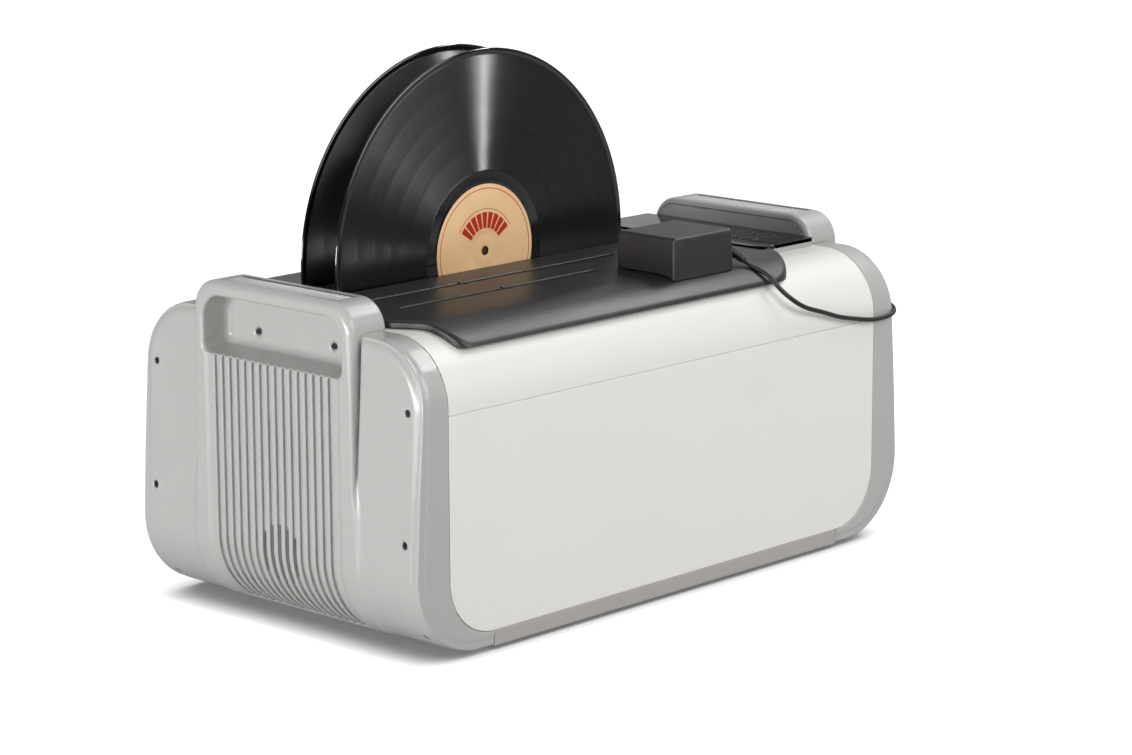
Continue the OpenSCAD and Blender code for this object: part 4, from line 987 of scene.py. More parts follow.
def recessField(x, y, z, d=0.0):
    wide = np.abs(y) - (cap["recessHalf"] + d)
    floor = ((cap["recessLow"] + 5 - (x - cap["recessBack"]) * 5 / 24) - z) * 0.979 - d
    upper = roundMax(wide, z - (cap["recessTop"] + d), cap["recessCorner"] + d)
    lower = roundMax(wide, floor, 6 + d)
    return roundMax(np.maximum(upper, lower), cap["recessBack"] - d - x, 5.0)


def capField(x, y, z):
    side = np.abs(y)
    section = sectionField(y, z)
    lobeFace = tuckFace(x, z, cap["lobeRadius"], cap["lobeLean"])
    ridgeFace = tuckFace(x, z, cap["tuckRadius"], 0.0)
    # the cleft beside the ridge opens above closeLow; below it lobe and ridge run into each other
    opened = softStep(z, cap["closeLow"], cap["closeHigh"])
    cleft = 0.4 + 1.8 * softStep(z, cap["closeLow"], 205)
    lobes = roundMax(section, lobeFace, cap["lobeEdge"])
    lobes = roundMax(lobes, cap["ridgeHalf"] + 0.9 - 9 * (1 - opened) - side, cleft)
    core = roundMax(section + 0.6, lobeFace + cleft, 1.0)
    outline = roundMax(side - cap["ridgeHalf"], z - cap["handleTop"], cap["handleCorner"])
    ridge = roundMax(outline, ridgeFace, 2.2 + 3.3 * softStep(z, 170, 232))
    ridge = roundMax(ridge, cap["handleBack"] - x, 4.6)
    solid = roundMin(np.minimum(lobes, core), ridge, 0.6 + 5.4 * (1 - opened))
    solid = roundMax(solid, -coversField(x, z, 0.25), 0.7)
    recess = recessField(x, y, z)
    cavity = np.maximum(np.maximum(section + cap["shell"], lobeFace + cap["faceWall"]),
        cap["shell"] - recess)
    solid = np.maximum(solid, -cavity)
    for level in cap["screwZ"]:
        inner = screwSeatX(level) - cap["bossReach"]
        away = span2(side - cap["screwY"], z - level)
        boss = np.maximum(np.maximum(away - cap["bossRadius"], inner - x), lobeFace + cap["shell"])
        solid = np.minimum(solid, boss)
        bore = np.maximum(away - cap["boreRadius"], screwSeatX(level) - x)
        solid = roundMax(solid, -bore, 0.3)
    bore = np.maximum(span2(side - cap["recessScrews"], z - cap["recessScrewZ"]) - cap["boreRadius"],
        cap["recessBack"] - 1.9 - x)
    solid = roundMax(solid, -bore, 0.3)
    solid = roundMax(solid, -recess, 2.6)
    backLine = np.maximum(np.abs(recess + cap["backLineInset"]) - 0.35, cap["recessBack"] - 0.6 - x)
    solid = np.maximum(solid, -np.maximum(backLine, cap["recessLow"] + 14 - z))
    # grille: a slightly sunk field of round-backed ribs, whose grooves run out at the top
    fade = 1 - softStep(side, cap["sunkHalf"] - 2.2, cap["sunkHalf"] + 2.2)
    depth = cap["sunk"] * fade * softStep(z, 8.0, 12.0)
    field = ridgeFace + depth
    solid = np.maximum(solid, np.minimum(field, cap["recessLow"] + 1 - z))
    number = np.clip(np.round(y / cap["groovePitch"] - 0.5), -8, 7) + 0.5
    beside = np.abs(y - number * cap["groovePitch"])
    across = beside - cap["grooveWidth"] / 2
    top = cap["recessLow"] - 2.2
    groove = roundMax(across, -(field + cap["grooveDepth"]), 0.8)
    groove = roundMax(np.maximum(groove, cap["grooveLow"] - z), z - top + 2.0 * across, 1.2)
    solid = roundMax(solid, -groove, 0.9)
    # the open vents break through where a pocket behind leaves the wall thin
    offset = np.abs(number + 0.5)
    behind = np.maximum(np.abs(y + cap["groovePitch"] / 2) - cap["pocketHalf"],
        np.maximum(cap["pocketLow"] - z, z - cap["pocketHigh"]))
    pocket = np.maximum(np.maximum(behind, ridgeFace + cap["pocketWall"]), cap["pocketBack"] - x)
    solid = np.maximum(solid, -pocket)
    ventEdge = np.maximum(cap["ventLow"] + 2 * offset * offset - z,
        z - cap["ventHigh"] + 1.9 * offset * offset)
    vent = np.maximum(np.maximum(beside - cap["ventHalf"], ventEdge),
        np.maximum(-(ridgeFace + cap["ventReach"]), offset - 2.5))
    solid = roundMax(solid, -vent, 0.25)
    # a shallow bed in the handle's top holds the grip ribs
    bed = np.maximum(np.maximum(side - cap["bedHalf"], np.abs(x - cap["gripX"]) - cap["bedWide"]),
        cap["handleTop"] - cap["bedDeep"] - z)
    solid = roundMax(solid, -bed, 0.25)
    # a fine line inset on the handle's inner face
    line = np.maximum(np.abs(outline + cap["lineInset"]) - cap["lineHalf"], x - cap["handleBack"] - 0.5)
    return np.maximum(solid, -line)


def capGrid():
    half = cap["groovePitch"] / 2
    ribs = []
    for i in range(-8, 8):
        ribs += [(i + 0.5) * cap["groovePitch"] + o for o in (-half, -2.45, -1.85, -1.1, 1.1, 1.85, 2.45)]
    ribs.append(8 * cap["groovePitch"])
    outer = gridRow(ribs[-1], (65.5, 1.6), (71.5, 1.0), (79.5, 1.5), (84.6, 0.6), (122, 2.4), (137, 1.5),
        (145, 1.0))
    ys = np.concatenate([-outer[::-1][:-1], ribs, outer[1:]])
    xs = gridRow(185, (187, 1.0), (189, 0.5), (224, 2.8), (226, 1.0), (232, 0.6), (236, 1.3), (240, 0.7),
        (252, 1.5), (258, 0.8), (264, 0.45))
    zs = gridRow(1.5, (4.5, 0.75), (14, 1.1), (22, 1.8), (34, 2.4), (44, 1.6), (66, 2.2), (80, 1.2),
        (103, 2.4), (170, 4.4), (184, 1.8), (199, 1.0), (212, 1.4), (221, 1.6), (226, 0.55), (232, 1.3),
        (247, 1.0))
    return xs, ys, zs


capMesh = moldedMesh("endCapRight", capField, *capGrid())
addMolded("endCapRight", capMesh, "greyCap", "housing", ["end_cap_right"])
addMolded("endCapLeft", mirroredMesh("endCapLeft", capMesh), "greyCap", "housing", ["end_cap_left"])

# cover, panels and tray


def slotField(x, y, cx, cy, halfX, halfY, corner):
    return roundMax(np.abs(x - cx) - halfX, np.abs(y - cy) - halfY, corner)


def coverField(x, y, z):
    section = sectionField(y, z)
    solid = roundMax(np.maximum(section, -(section + housing["shell"])), np.abs(x) - housing["coverHalf"],
        0.7)
    solid = roundMax(solid, housing["seam"] - z, 0.6)
    mouth = slotField(x, y, housing["discX"], 0, *housing["mouth"])
    return roundMax(solid, -mouth, 1.2)


def panelOutline(x, z):
    side = roundMax(np.abs(x) - housing["coverHalf"], housing["panelLow"] - z, housing["panelCorner"])
    return roundMax(side, z - housing["seam"], 0.6)


def frontPanelField(x, y, z):
    front = -housing["halfDepth"] - y
    return np.maximum(roundMax(panelOutline(x, z), front, 0.6), y + housing["halfDepth"] - housing["shell"])


rear = {
    "valveX": -165.5, "valveZ": 50.5, "valveSize": 56, "valveDepth": 24,
    "serviceX": 132.5, "serviceZ": 54.5, "serviceWidth": 92, "serviceHeight": 44, "serviceDepth": 6,
    "ventCount": 8, "ventPitch": 9.0, "ventX": -58.25, "ventLow": 123.0, "ventHigh": 153.0,
}


def backPanelField(x, y, z):
    back = y - housing["halfDepth"]
    plate = np.maximum(roundMax(panelOutline(x, z), back, 0.6), -back - housing["shell"])
    valveHalf = rear["valveSize"] / 2
    valveBox = roundMax(np.abs(x - rear["valveX"]) - valveHalf, np.abs(z - rear["valveZ"]) - valveHalf, 5)
    serviceBox = roundMax(np.abs(x - rear["serviceX"]) - rear["serviceWidth"] / 2,
        np.abs(z - rear["serviceZ"]) - rear["serviceHeight"] / 2, 4)
    tub = np.minimum(np.maximum(valveBox - 2, -back - rear["valveDepth"] - 2),
        np.maximum(serviceBox - 2, -back - rear["serviceDepth"] - 2))
    solid = np.minimum(plate, np.maximum(tub, back + 1))
    solid = roundMax(solid, -np.maximum(valveBox, -back - rear["valveDepth"]), 1.0)
    solid = roundMax(solid, -np.maximum(serviceBox, -back - rear["serviceDepth"]), 1.0)
    nipple = np.minimum(span2(x - rear["valveX"] + 12, z - rear["valveZ"]) - 7,
        span2(x - rear["valveX"] - 12, z - rear["valveZ"]) - 4)
    inlet = np.maximum(np.abs(x - rear["serviceX"] + 16) - 24, np.abs(z - rear["serviceZ"]) - 14)
    rocker = np.maximum(np.abs(x - rear["serviceX"] - 28) - 9, np.abs(z - rear["serviceZ"]) - 14)
    solid = np.maximum(solid, -np.minimum(nipple, np.minimum(inlet, rocker)))
    number = np.clip(np.round((x - rear["ventX"]) / rear["ventPitch"]), 0, rear["ventCount"] - 1)
    middle = (rear["ventLow"] + rear["ventHigh"]) / 2
    vent = roundMax(np.abs(x - rear["ventX"] - number * rear["ventPitch"]) - 1.75,
        np.abs(z - middle) - (rear["ventHigh"] - rear["ventLow"]) / 2, 1.6)
    return roundMax(solid, -vent, 0.5)


def trayField(x, y, z):
    half, deep = housing["trayHalf"], housing["halfDepth"]
    wall = roundMax(np.abs(x) - half, np.abs(y) - deep, 1.0)
    solid = roundMax(roundMax(wall, housing["trayLow"] - z, 1.6), z - housing["panelLow"], 0.5)
    hollow = np.maximum(np.maximum(np.abs(x) - half + 3, np.abs(y) - deep + 3), housing["trayLow"] + 3 - z)
    solid = np.maximum(solid, -hollow)
    number = np.clip(np.round(x / 14), -5, 5)
    slot = roundMax(np.abs(x - number * 14) - 1.5, np.abs(y) - 30, 1.4)
    return roundMax(solid, -slot, 0.4)


coverXs = gridRow(-231.5, (-228.5, 0.5), (-198, 8.0), (-190, 1.5), (-168, 2.2), (104, 16.0), (126, 2.2),
    (134, 1.5), (228.5, 14.0), (231.5, 0.5))
shoulderRow = gridRow(0, (64, 12.0), (86, 2.2), (92, 1.0), (98, 2.0), (139, 1.6), (144.5, 0.9))
coverYs = np.concatenate([-shoulderRow[::-1][:-1], shoulderRow])
coverZs = gridRow(172, (175.5, 0.5), (218, 1.6), (225, 0.6))
mold("topCover", coverField, (coverXs, coverYs, coverZs), "ivoryHousing", "housing", "top_cover")

panelXs = gridRow(-231.5, (-228.5, 0.5), (-184, 1.8), (184, 12.0), (228.5, 1.8), (231.5, 0.5))
panelZs = gridRow(13.5, (16.5, 0.5), (60, 1.8), (168, 9.0), (171, 1.5), (174, 0.5))
mold("frontPanel", frontPanelField, (panelXs, gridRow(-144.3, (-141.5, 0.45), (-139.3, 1.1)), panelZs),
    "ivoryHousing", "housing", "front_panel")
backXs = gridRow(-231.5, (-228.5, 0.5), (-200, 1.8), (-190, 1.2), (-134, 1.6), (-64, 5.0), (8, 0.75),
    (80, 4.0), (184, 1.6), (228.5, 1.8), (231.5, 0.5))
backZs = gridRow(13.5, (16.5, 0.5), (84, 1.6), (118, 4.0), (126, 1.0), (150, 3.0), (156, 1.0), (171, 3.0),
    (174, 0.5))
mold("backPanel", backPanelField, (backXs, gridRow(114, (122, 1.1), (134, 2.0), (139, 1.0),
    (144.3, 0.45)), backZs), "ivoryHousing", "housing", "back_panel")
trayXs = gridRow(-188.5, (-184, 0.5), (-76, 12.0), (76, 0.75), (184, 12.0), (188.5, 0.5))
trayYs = gridRow(-144.3, (-139.5, 0.5), (-33, 10.0), (-27, 0.6), (27, 9.0), (33, 0.6), (139.5, 10.0),
    (144.3, 0.5))
mold("baseTray", trayField, (trayXs, trayYs, gridRow(1.5, (7, 0.5), (13, 1.5), (15.5, 0.4))), "greyTray",
    "housing", "base_tray")
print("housing moulded")

# carrier lid and motor box

lid = {
    "rise": 6.0,
    "wall": 3.0,
    "left": -226.0,
    "right": 161.5,
    "halfY": 132.3,
    "ridge": 81.5,
    "glassHalf": 86.5,
    "edge": 2.6,
    "slotWidth": 5.0,
    "slots": [(-87.4, 100.0, -53.85), (-60.4, 131.0, -17.95), (-32.4, 154.0, 17.95), (-32.4, 154.0, 53.85)],
    "notches": [(-84.0, -53.85), (-92.0, -17.95)],
    "beltSlot": (53.85, -74.15, 23.15, 3.45, 0.1),
}


def bendPoints(a, b, c, d, count):
    a, b, c, d = (np.array(p, float) for p in (a, b, c, d))
    return [(1 - t) ** 3 * a + 3 * (1 - t) ** 2 * t * b + 3 * (1 - t) * t * t * c + t ** 3 * d
        for t in np.linspace(0, 1, count + 1)]


def lidEdgePoints(spec):
    # the front half of the lid seen from above, then mirrored to the back
    x0, x1, deep = spec["left"], spec["right"], spec["halfY"]
    ridge, glass = spec["ridge"], spec["glassHalf"]
    front = [np.array((x0, -ridge + 12.0))]
    front += bendPoints((x0 + 1, -ridge + 8), (x0 + 6, -ridge - 8), (x0 + 16, -ridge - 12),
        (x0 + 16.5, -ridge - 28), 14)
    front += bendPoints((x0 + 17, -ridge - 32), (x0 + 20, -deep + 6), (x0 + 23, -deep), (x0 + 34, -deep),
        14)
    front += bendPoints((x1 - 36, -deep), (x1 - 12, -deep), (x1 - 2, -glass - 24), (x1 + 9, -glass - 6), 20)
    front += [np.array((x1 + 10.5, -glass - 1.2)), np.array((x1, -glass - 1.2))]
    back = [np.array((p[0], -p[1])) for p in front[::-1]]
    return np.array(front + back)


lidEdge = lidEdgePoints(lid)


def outlineField(x, y, points):
    # signed distance to a closed outline: negative inside
    x, y = np.broadcast_arrays(x, y)
    near = np.full(x.shape, 1e9)
    inside = np.zeros(x.shape, bool)
    for (ax, ay), (bx, by) in zip(points, np.roll(points, -1, axis=0)):
        ex, ey = bx - ax, by - ay
        length = ex * ex + ey * ey
        if length < 1e-9:
            continue
        share = np.clip(((x - ax) * ex + (y - ay) * ey) / length, 0, 1)
        near = np.minimum(near, (x - ax - share * ex) ** 2 + (y - ay - share * ey) ** 2)
        if ay != by:
            inside ^= ((ay > y) != (by > y)) & (x < (bx - ax) * (y - ay) / (by - ay) + ax)
    return np.where(inside, -1, 1) * np.sqrt(near)


def lidField(x, y, z):
    edge = outlineField(x, y, lidEdge)
    top = sectionField(y, z, lid["rise"])
    solid = roundMax(top, edge, lid["edge"])
    solid = np.maximum(solid, -sectionField(y, z, 0.3))
    hollow = np.maximum(sectionField(y, z, lid["rise"] - lid["wall"]), edge + lid["wall"])
    solid = np.maximum(solid, -hollow)
    for cx, half, cy in lid["slots"]:
        solid = roundMax(solid, -slotField(x, y, cx, cy, half, lid["slotWidth"] / 2,
            lid["slotWidth"] / 2 - 0.1), 0.8)
    for cx, cy in lid["notches"]:
        notch = np.maximum(slotField(x, y, cx, cy, 1.1, 5.0, 1.0), 228.6 - z)
        solid = roundMax(solid, -notch, 0.3)
    belt = slotField(x, y, *lid["beltSlot"])
    return np.maximum(solid, -belt)


lidYs = gridRow(-133.4, (-129, 0.6), (-90, 1.9), (-84, 1.0), (-78.5, 1.2), (-69.5, 0.9), (-59.5, 3.0),
    (-48.2, 0.6), (-23.6, 3.5), (-12.4, 0.6), (12.4, 4.0), (23.6, 0.6), (48.2, 3.5), (59.5, 0.6),
    (78, 4.0), (92, 1.2), (129, 1.9), (133.4, 0.6))
lidXs = gridRow(-227.4, (-222, 0.7), (-207, 1.3), (-188, 1.2), (-180, 0.8), (-96, 6.0), (-80, 0.7),
    (8, 6.0), (16, 0.8), (66, 5.0), (76, 0.8), (117, 5.0), (125, 0.8), (140, 1.7), (158, 1.4),
    (173.5, 0.7))
lidZs = gridRow(214, (218, 0.7), (231.5, 0.6))
mold("carrierLid", lidField, (lidXs, lidYs, lidZs), "blackLid", "carrier", "lid_shell")

box = {"x": 63.0, "y": -87.15, "halfX": 33.0, "halfY": 29.0, "top": 258.0, "round": 2.6, "wall": 2.5,
    "jackY": -102.15, "jackZ": 243.0}


def boxField(x, y, z):
    # the walls lean out a little towards a foot with a small lip
    lean = 0.025 * (box["top"] - z) - 0.6 + 0.5 * softStep(-z, -(housing["bodyTop"] + 1),
        -(housing["bodyTop"] - 1))
    sides = roundMax(np.abs(x - box["x"]) - box["halfX"] - lean,
        np.abs(y - box["y"]) - box["halfY"] - lean, box["round"])
    solid = roundMax(sides, z - box["top"], box["round"])
    solid = roundMax(solid, -sectionField(y, z, lid["rise"] + 0.3), 0.5)
    inner = np.maximum(np.maximum(np.abs(x - box["x"]) - box["halfX"] + box["wall"],
        np.abs(y - box["y"]) - box["halfY"] + box["wall"]), z - box["top"] + box["wall"])
    solid = np.maximum(solid, -inner)
    jack = np.maximum(span2(y - box["jackY"], z - box["jackZ"]) - 5.2, 80 - x)
    return roundMax(solid, -jack, 0.4)


boxXs = gridRow(29, (35, 0.6), (90, 9.0), (97, 0.6))
boxYs = gridRow(-117.2, (-111, 0.6), (-108.5, 1.0), (-95.5, 0.8), (-64, 6.0), (-57.2, 0.6))
boxZs = gridRow(221, (236, 0.9), (250, 1.0), (259, 0.6))
mold("motorBox", boxField, (boxXs, boxYs, boxZs), "blackBox", "carrier", "motor_box")

# touch panel

glass = {"x0": 163.0, "x1": 226.0, "half": 86.5, "low": 228.0, "high": 231.0, "round": 16.0,
    "handleRound": 3.0}


def glassOutline(x, y, d):
    # round corners towards the carrier, small ones at the handle
    wide = np.abs(y) - glass["half"] - d
    near = roundMax(glass["x0"] - d - x, wide, glass["round"] + d)
    away = roundMax(x - glass["x1"] - d, wide, max(glass["handleRound"] + d, 0.3))
    return np.maximum(near, away)


def glassField(x, y, z):
    plate = roundMax(glassOutline(x, y, 0.0), z - glass["high"], 0.7)
    return roundMax(plate, glass["low"] - z, 0.3)


def bezelField(x, y, z):
    plate = roundMax(glassOutline(x, y, -0.6), housing["bodyTop"] + 0.02 - z, 0.4)
    plate = np.maximum(plate, z - glass["low"])
    return np.maximum(plate, -np.maximum(glassOutline(x, y, -4.0), 225.5 - z))


glassXs = gridRow(162, (168, 0.5), (180, 1.2), (221, 9.0), (227, 0.5))
glassYs = gridRow(-87.5, (-82, 0.5), (-70, 1.2), (70, 20.0), (82, 1.2), (87.5, 0.5))
mold("touchGlass", glassField, (glassXs, glassYs, gridRow(227.4, (231.6, 0.3))), "blackGlass", "housing",
    "touch_glass")
mold("panelBezel", bezelField, (glassXs, glassYs, gridRow(223.4, (228.6, 0.4))), "greyBezel", "housing",
    "panel_bezel")

# wall adapter at the lead's end

adapter = {"x1": 156.0, "y": 236.0, "neckZ": 6.1, "length": 60.0, "width": 38.0, "height": 26.0,
    "pinZ": 13.0, "pin": [(0, 0), (1.4, 0), (2.0, 0.7), (2.0, 18.0), (0, 18.0)]}


def adapterField(x, y, z):
    cx = adapter["x1"] - 10 - adapter["length"] / 2
    sides = roundMax(np.abs(x - cx) - adapter["length"] / 2,
        np.abs(y - adapter["y"]) - adapter["width"] / 2, 5.0)
    solid = roundMax(roundMax(sides, z - adapter["height"], 2.5), -z, 1.0)
    seam = np.maximum(np.abs(z - 9.0) - 0.35, -(sides + 0.5))
    solid = np.maximum(solid, -seam)
    run = np.clip((adapter["x1"] - x) / 10, 0, 1)
    ribbed = 2.35 + 0.85 * run - 0.45 * (np.abs((x * 0.5) % 1 - 0.5) < 0.2)
    neck = np.maximum(span2(y - adapter["y"], z - adapter["neckZ"]) - ribbed,
        np.abs(x - adapter["x1"] + 7) - 7)
    return roundMin(solid, neck, 0.4)


adapterMesh = moldedMesh("leadAdapter", adapterField,
    gridRow(84.5, (93, 0.7), (139, 8.0), (147.5, 0.6), (157, 0.35)),
    gridRow(216, (223, 0.6), (231, 2.0), (241, 0.5), (249, 2.0), (256, 0.6)),
    gridRow(-1, (3, 0.5), (13, 0.4), (22, 3.0), (27, 0.5)))
pinPart = bmesh.new()
pinPart.from_mesh(adapterMesh)
for side in (-6, 6):
    first = len(pinPart.faces)
    pinMesh = turnedMesh("pin", adapter["pin"],
        (adapter["x1"] - 88, adapter["y"] + side, adapter["pinZ"]), (1, 0, 0), 20)
    pinPart.from_mesh(pinMesh)
    pinPart.faces.ensure_lookup_table()
    for face in pinPart.faces[first:]:
        face.material_index = 1
withPins = bpy.data.meshes.new("leadAdapterPins")
pinPart.to_mesh(withPins)
pinPart.free()
for finish in ("blackFitting", "turnedSteel"):
    withPins.materials.append(finishes[finish])
adapterPiece = linkPiece("leadAdapter", smoothed(withPins, 38))
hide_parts("cord_adapter")
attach(adapterPiece, "carrier")

print("lead laid")

# discs

disc = {"radius": 150.5, "rim": 1.0, "play": 0.75, "label": 50.0, "labelThick": 0.3, "hole": 3.6,
    "segments": 288, "bands": [62.0, 79.0, 97.0, 113.0, 130.0, 146.2]}


def discProfile(spec):
    rim, play = spec["rim"], spec["play"]
    upper = [(spec["hole"], rim), (spec["label"] + 1.2, rim), (spec["label"] + 3.0, rim - 0.05),
        (spec["label"] + 5.0, play), (60.5, play), (61.5, play - 0.05)]
    for inner, outer in zip(spec["bands"][:-1], spec["bands"][1:]):
        upper += [(inner + 0.5, play - 0.06), (outer - 0.9, play - 0.06), (outer - 0.6, play),
            (outer - 0.1, play)]
    upper += [(147.4, play + 0.05), (148.3, rim - 0.02), (149.4, rim), (150.1, rim - 0.25),
        (spec["radius"], 0.35)]
    lower = [(r, -h) for r, h in upper[::-1]]
    return upper + lower + [upper[0]]


def addGrooveMap(mesh, centre):
    # a map whose first direction runs outwards, across the groove, for the gloss that the groove draws out
    layer = mesh.uv_layers.new(name="groove")
    points = np.empty(len(mesh.vertices) * 3)
    mesh.vertices.foreach_get("co", points)
    points = points.reshape(-1, 3)
    index = np.empty(len(mesh.loops), np.int32)
    mesh.loops.foreach_get("vertex_index", index)
    x, z = points[index, 0] - centre[0] / 1000, points[index, 2] - centre[1] / 1000
    angle = np.arctan2(z, x)
    starts = np.empty(len(mesh.polygons), np.int32)
    totals = np.empty(len(mesh.polygons), np.int32)
    mesh.polygons.foreach_get("loop_start", starts)
    mesh.polygons.foreach_get("loop_total", totals)
    base = np.repeat(angle[starts], totals)
    angle = base + (angle - base + np.pi) % (2 * np.pi) - np.pi
    layer.data.foreach_set("uv", np.stack([np.hypot(x, z) * 5, angle], 1).ravel())


def makeDisc(name, y, node, body):
    centre = (housing["discX"], y, housing["discZ"])
    mesh = turnedMesh(name, discProfile(disc), centre, (0, 1, 0), disc["segments"])
    addGrooveMap(mesh, (housing["discX"], housing["discZ"]))
    mesh.set_sharp_from_angle(angle=math.radians(50))
    piece = linkPiece(name, mesh, "pressedVinyl")
    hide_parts(node)
    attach(piece, body)
    sides = []
    for way in (-1, 1):
        thick = disc["labelThick"]
        hole, rim, edge, top = disc["hole"], disc["rim"], disc["label"], disc["rim"] + thick
        profile = [(hole, rim - 0.05), (hole, top - 0.05), (hole + 0.2, top), (10.5, top),
            (11.0, top - 0.12), (14.0, top - 0.12), (14.6, top), (edge - 0.4, top), (edge, top - 0.12),
            (edge, rim - 0.05), (hole, rim - 0.05)]
        sides.append(turnedMesh("side", profile, centre, (0, way, 0), 160))
    labels = smoothed(joinedMesh(name + "Labels", sides), 50)
    labelPiece = linkPiece(name + "Labels", labels, "printedLabel")
    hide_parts(node + "_labels")
    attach(labelPiece, body)


makeDisc("discFront", 17.95, "record_front", "record_front")
makeDisc("discRear", 53.85, "record_rear", "record_rear")
print("discs turned")

# what repeats: screws, grip ribs and panel marks, by geometry nodes


class GeometryGraph(Graph):
    def __init__(self, name, inputs):
        tree = bpy.data.node_groups.new(name, "GeometryNodeTree")
        super().__init__(tree)
        tree.interface.new_socket(name="Geometry", in_out="INPUT", socket_type="NodeSocketGeometry")
        addSockets(tree, "INPUT", inputs)
        tree.interface.new_socket(name="Geometry", in_out="OUTPUT", socket_type="NodeSocketGeometry")
        self.given = tree.nodes.new("NodeGroupInput").outputs
        self.result = tree.nodes.new("NodeGroupOutput")

    def finish(self, geometry, finish):
        whole = self.add("GeometryNodeRealizeInstances", {"Geometry": geometry})
        coated = self.add("GeometryNodeSetMaterial", {"Geometry": whole.outputs[0], "Material": finish})
        self.tree.links.new(coated.outputs[0], self.result.inputs[0])


def bakeTree(name, tree, start, values):
    # evaluates the tree once and keeps its result as a plain mesh
    source = bpy.data.objects.new(name + "Source", start)
    bpy.context.collection.objects.link(source)
    modifier = source.modifiers.new("tree", "NODES")
    modifier.node_group = tree
    sockets = {s.name: s.identifier for s in tree.interface.items_tree if s.item_type == "SOCKET"
        and s.in_out == "INPUT"}
    for label, value in values.items():
        modifier[sockets[label]] = value
    bpy.context.view_layer.update()
    shaped = source.evaluated_get(bpy.context.evaluated_depsgraph_get())
    mesh = bpy.data.meshes.new_from_object(shaped)
    mesh.name = name
    source.modifiers.clear()
    bpy.data.objects.remove(source)
    return mesh


def makeScrewTree(finish):
    # a turned head with a cross recess and a short shank stands on every point
    graph = GeometryGraph("capScrews", {"Head Radius": 0.0033, "Head Height": 0.0022,
        "Shank Radius": 0.0019, "Shank Length": 0.024, "Recess Width": 0.0011, "Recess Length": 0.004})
    given = graph.given
    disk = graph.out("GeometryNodeMeshCircle", {"Vertices": 32, "Radius": given["Head Radius"]},
        fill_type="NGON")
    low = graph.add("GeometryNodeExtrudeMesh", {"Mesh": disk, "Offset Scale": graph.times(
        given["Head Height"], 0.55)})
    domed = graph.add("GeometryNodeExtrudeMesh", {"Mesh": low.outputs["Mesh"],
        "Selection": low.outputs["Top"], "Offset Scale": graph.times(given["Head Height"], 0.45)})
    drawn = graph.out("GeometryNodeScaleElements",
        {"Geometry": domed.outputs["Mesh"], "Selection": domed.outputs["Top"], "Scale": 0.72})
    base = graph.out("GeometryNodeFlipFaces", {"Mesh": disk})
    head = graph.add("GeometryNodeJoinGeometry", {0: drawn})
    graph.tree.links.new(base, head.inputs[0])
    sealed = graph.out("GeometryNodeMergeByDistance", {"Geometry": head.outputs[0], "Distance": 0.00001})
    deep = graph.times(given["Head Height"], 1.2)
    bar = graph.add("ShaderNodeCombineXYZ", {0: given["Recess Length"], 1: given["Recess Width"], 2: deep})
    cross = graph.add("ShaderNodeCombineXYZ", {0: given["Recess Width"], 1: given["Recess Length"],
        2: deep})
    lift = graph.out("ShaderNodeCombineXYZ", {2: graph.times(given["Head Height"], 1.15)})
    cutters = []
    for size in (bar, cross):
        block = graph.out("GeometryNodeMeshCube", {"Size": size.outputs[0]})
        cutters.append(graph.add("GeometryNodeTransform", {"Geometry": block, "Translation": lift}))
    cut = graph.add("GeometryNodeMeshBoolean", {0: sealed, 1: cutters[0].outputs[0]},
        operation="DIFFERENCE")
    graph.tree.links.new(cutters[1].outputs[0], cut.inputs[1])
    shank = graph.add("GeometryNodeMeshCylinder",
        {"Vertices": 20, "Radius": given["Shank Radius"], "Depth": given["Shank Length"]})
    lower = graph.out("ShaderNodeCombineXYZ", {2: graph.times(given["Shank Length"], -0.5)})
    sunk = graph.out("GeometryNodeTransform", {"Geometry": shank.outputs[0], "Translation": lower})
    screw = graph.add("GeometryNodeJoinGeometry", {0: cut.outputs[0]})
    graph.tree.links.new(sunk, screw.inputs[0])
    spots = graph.out("GeometryNodeMeshToPoints", {"Mesh": given["Geometry"]})
    turn = graph.out("FunctionNodeAlignRotationToVector",
        {"Vector": graph.out("GeometryNodeInputNamedAttribute", {"Name": "outwards"},
        data_type="FLOAT_VECTOR")}, axis="Z")
    twist = graph.add("FunctionNodeRandomValue", {2: 0.0, 3: 3.1, "Seed": 7}, data_type="FLOAT")
    spin = graph.out("FunctionNodeRotateRotation",
        {"Rotation": turn, "Rotate By": graph.out("FunctionNodeAxisAngleToRotation",
        {"Axis": (0, 0, 1), "Angle": twist.outputs[1]})}, rotation_space="LOCAL")
    stood = graph.out("GeometryNodeInstanceOnPoints",
        {"Points": spots, "Instance": screw.outputs[0], "Rotation": spin})
    graph.finish(stood, finish)
    return graph.tree


def pointMesh(name, points, outwards):
    mesh = bpy.data.meshes.new(name)
    mesh.from_pydata([tuple(c / 1000 for c in p) for p in points], [], [])
    layer = mesh.attributes.new("outwards", "FLOAT_VECTOR", "POINT")
    layer.data.foreach_set("vector", [c for v in outwards for c in v])
    return mesh


screwTree = makeScrewTree(finishes["screwSteel"])
for side, label in ((-1, "Left"), (1, "Right")):
    spots = [(side * (screwSeatX(z) + 0.1), y, z) for z in cap["screwZ"]
        for y in (-cap["screwY"], cap["screwY"])]
    spots += [(side * (cap["recessBack"] - 1.6), y, cap["recessScrewZ"])
        for y in (-cap["recessScrews"], cap["recessScrews"])]
    mesh = bakeTree("capScrews" + label, screwTree,
        pointMesh("spots", spots, [(side, 0, 0)] * len(spots)),
        {"Shank Length": 0.013, "Head Radius": 0.0022, "Shank Radius": 0.0013, "Recess Width": 0.0008,
        "Recess Length": 0.0028})
    piece = linkPiece("capScrews" + label, smoothed(mesh, 35))
    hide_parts("cap_screws_" + label.lower())
    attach(piece, "housing")


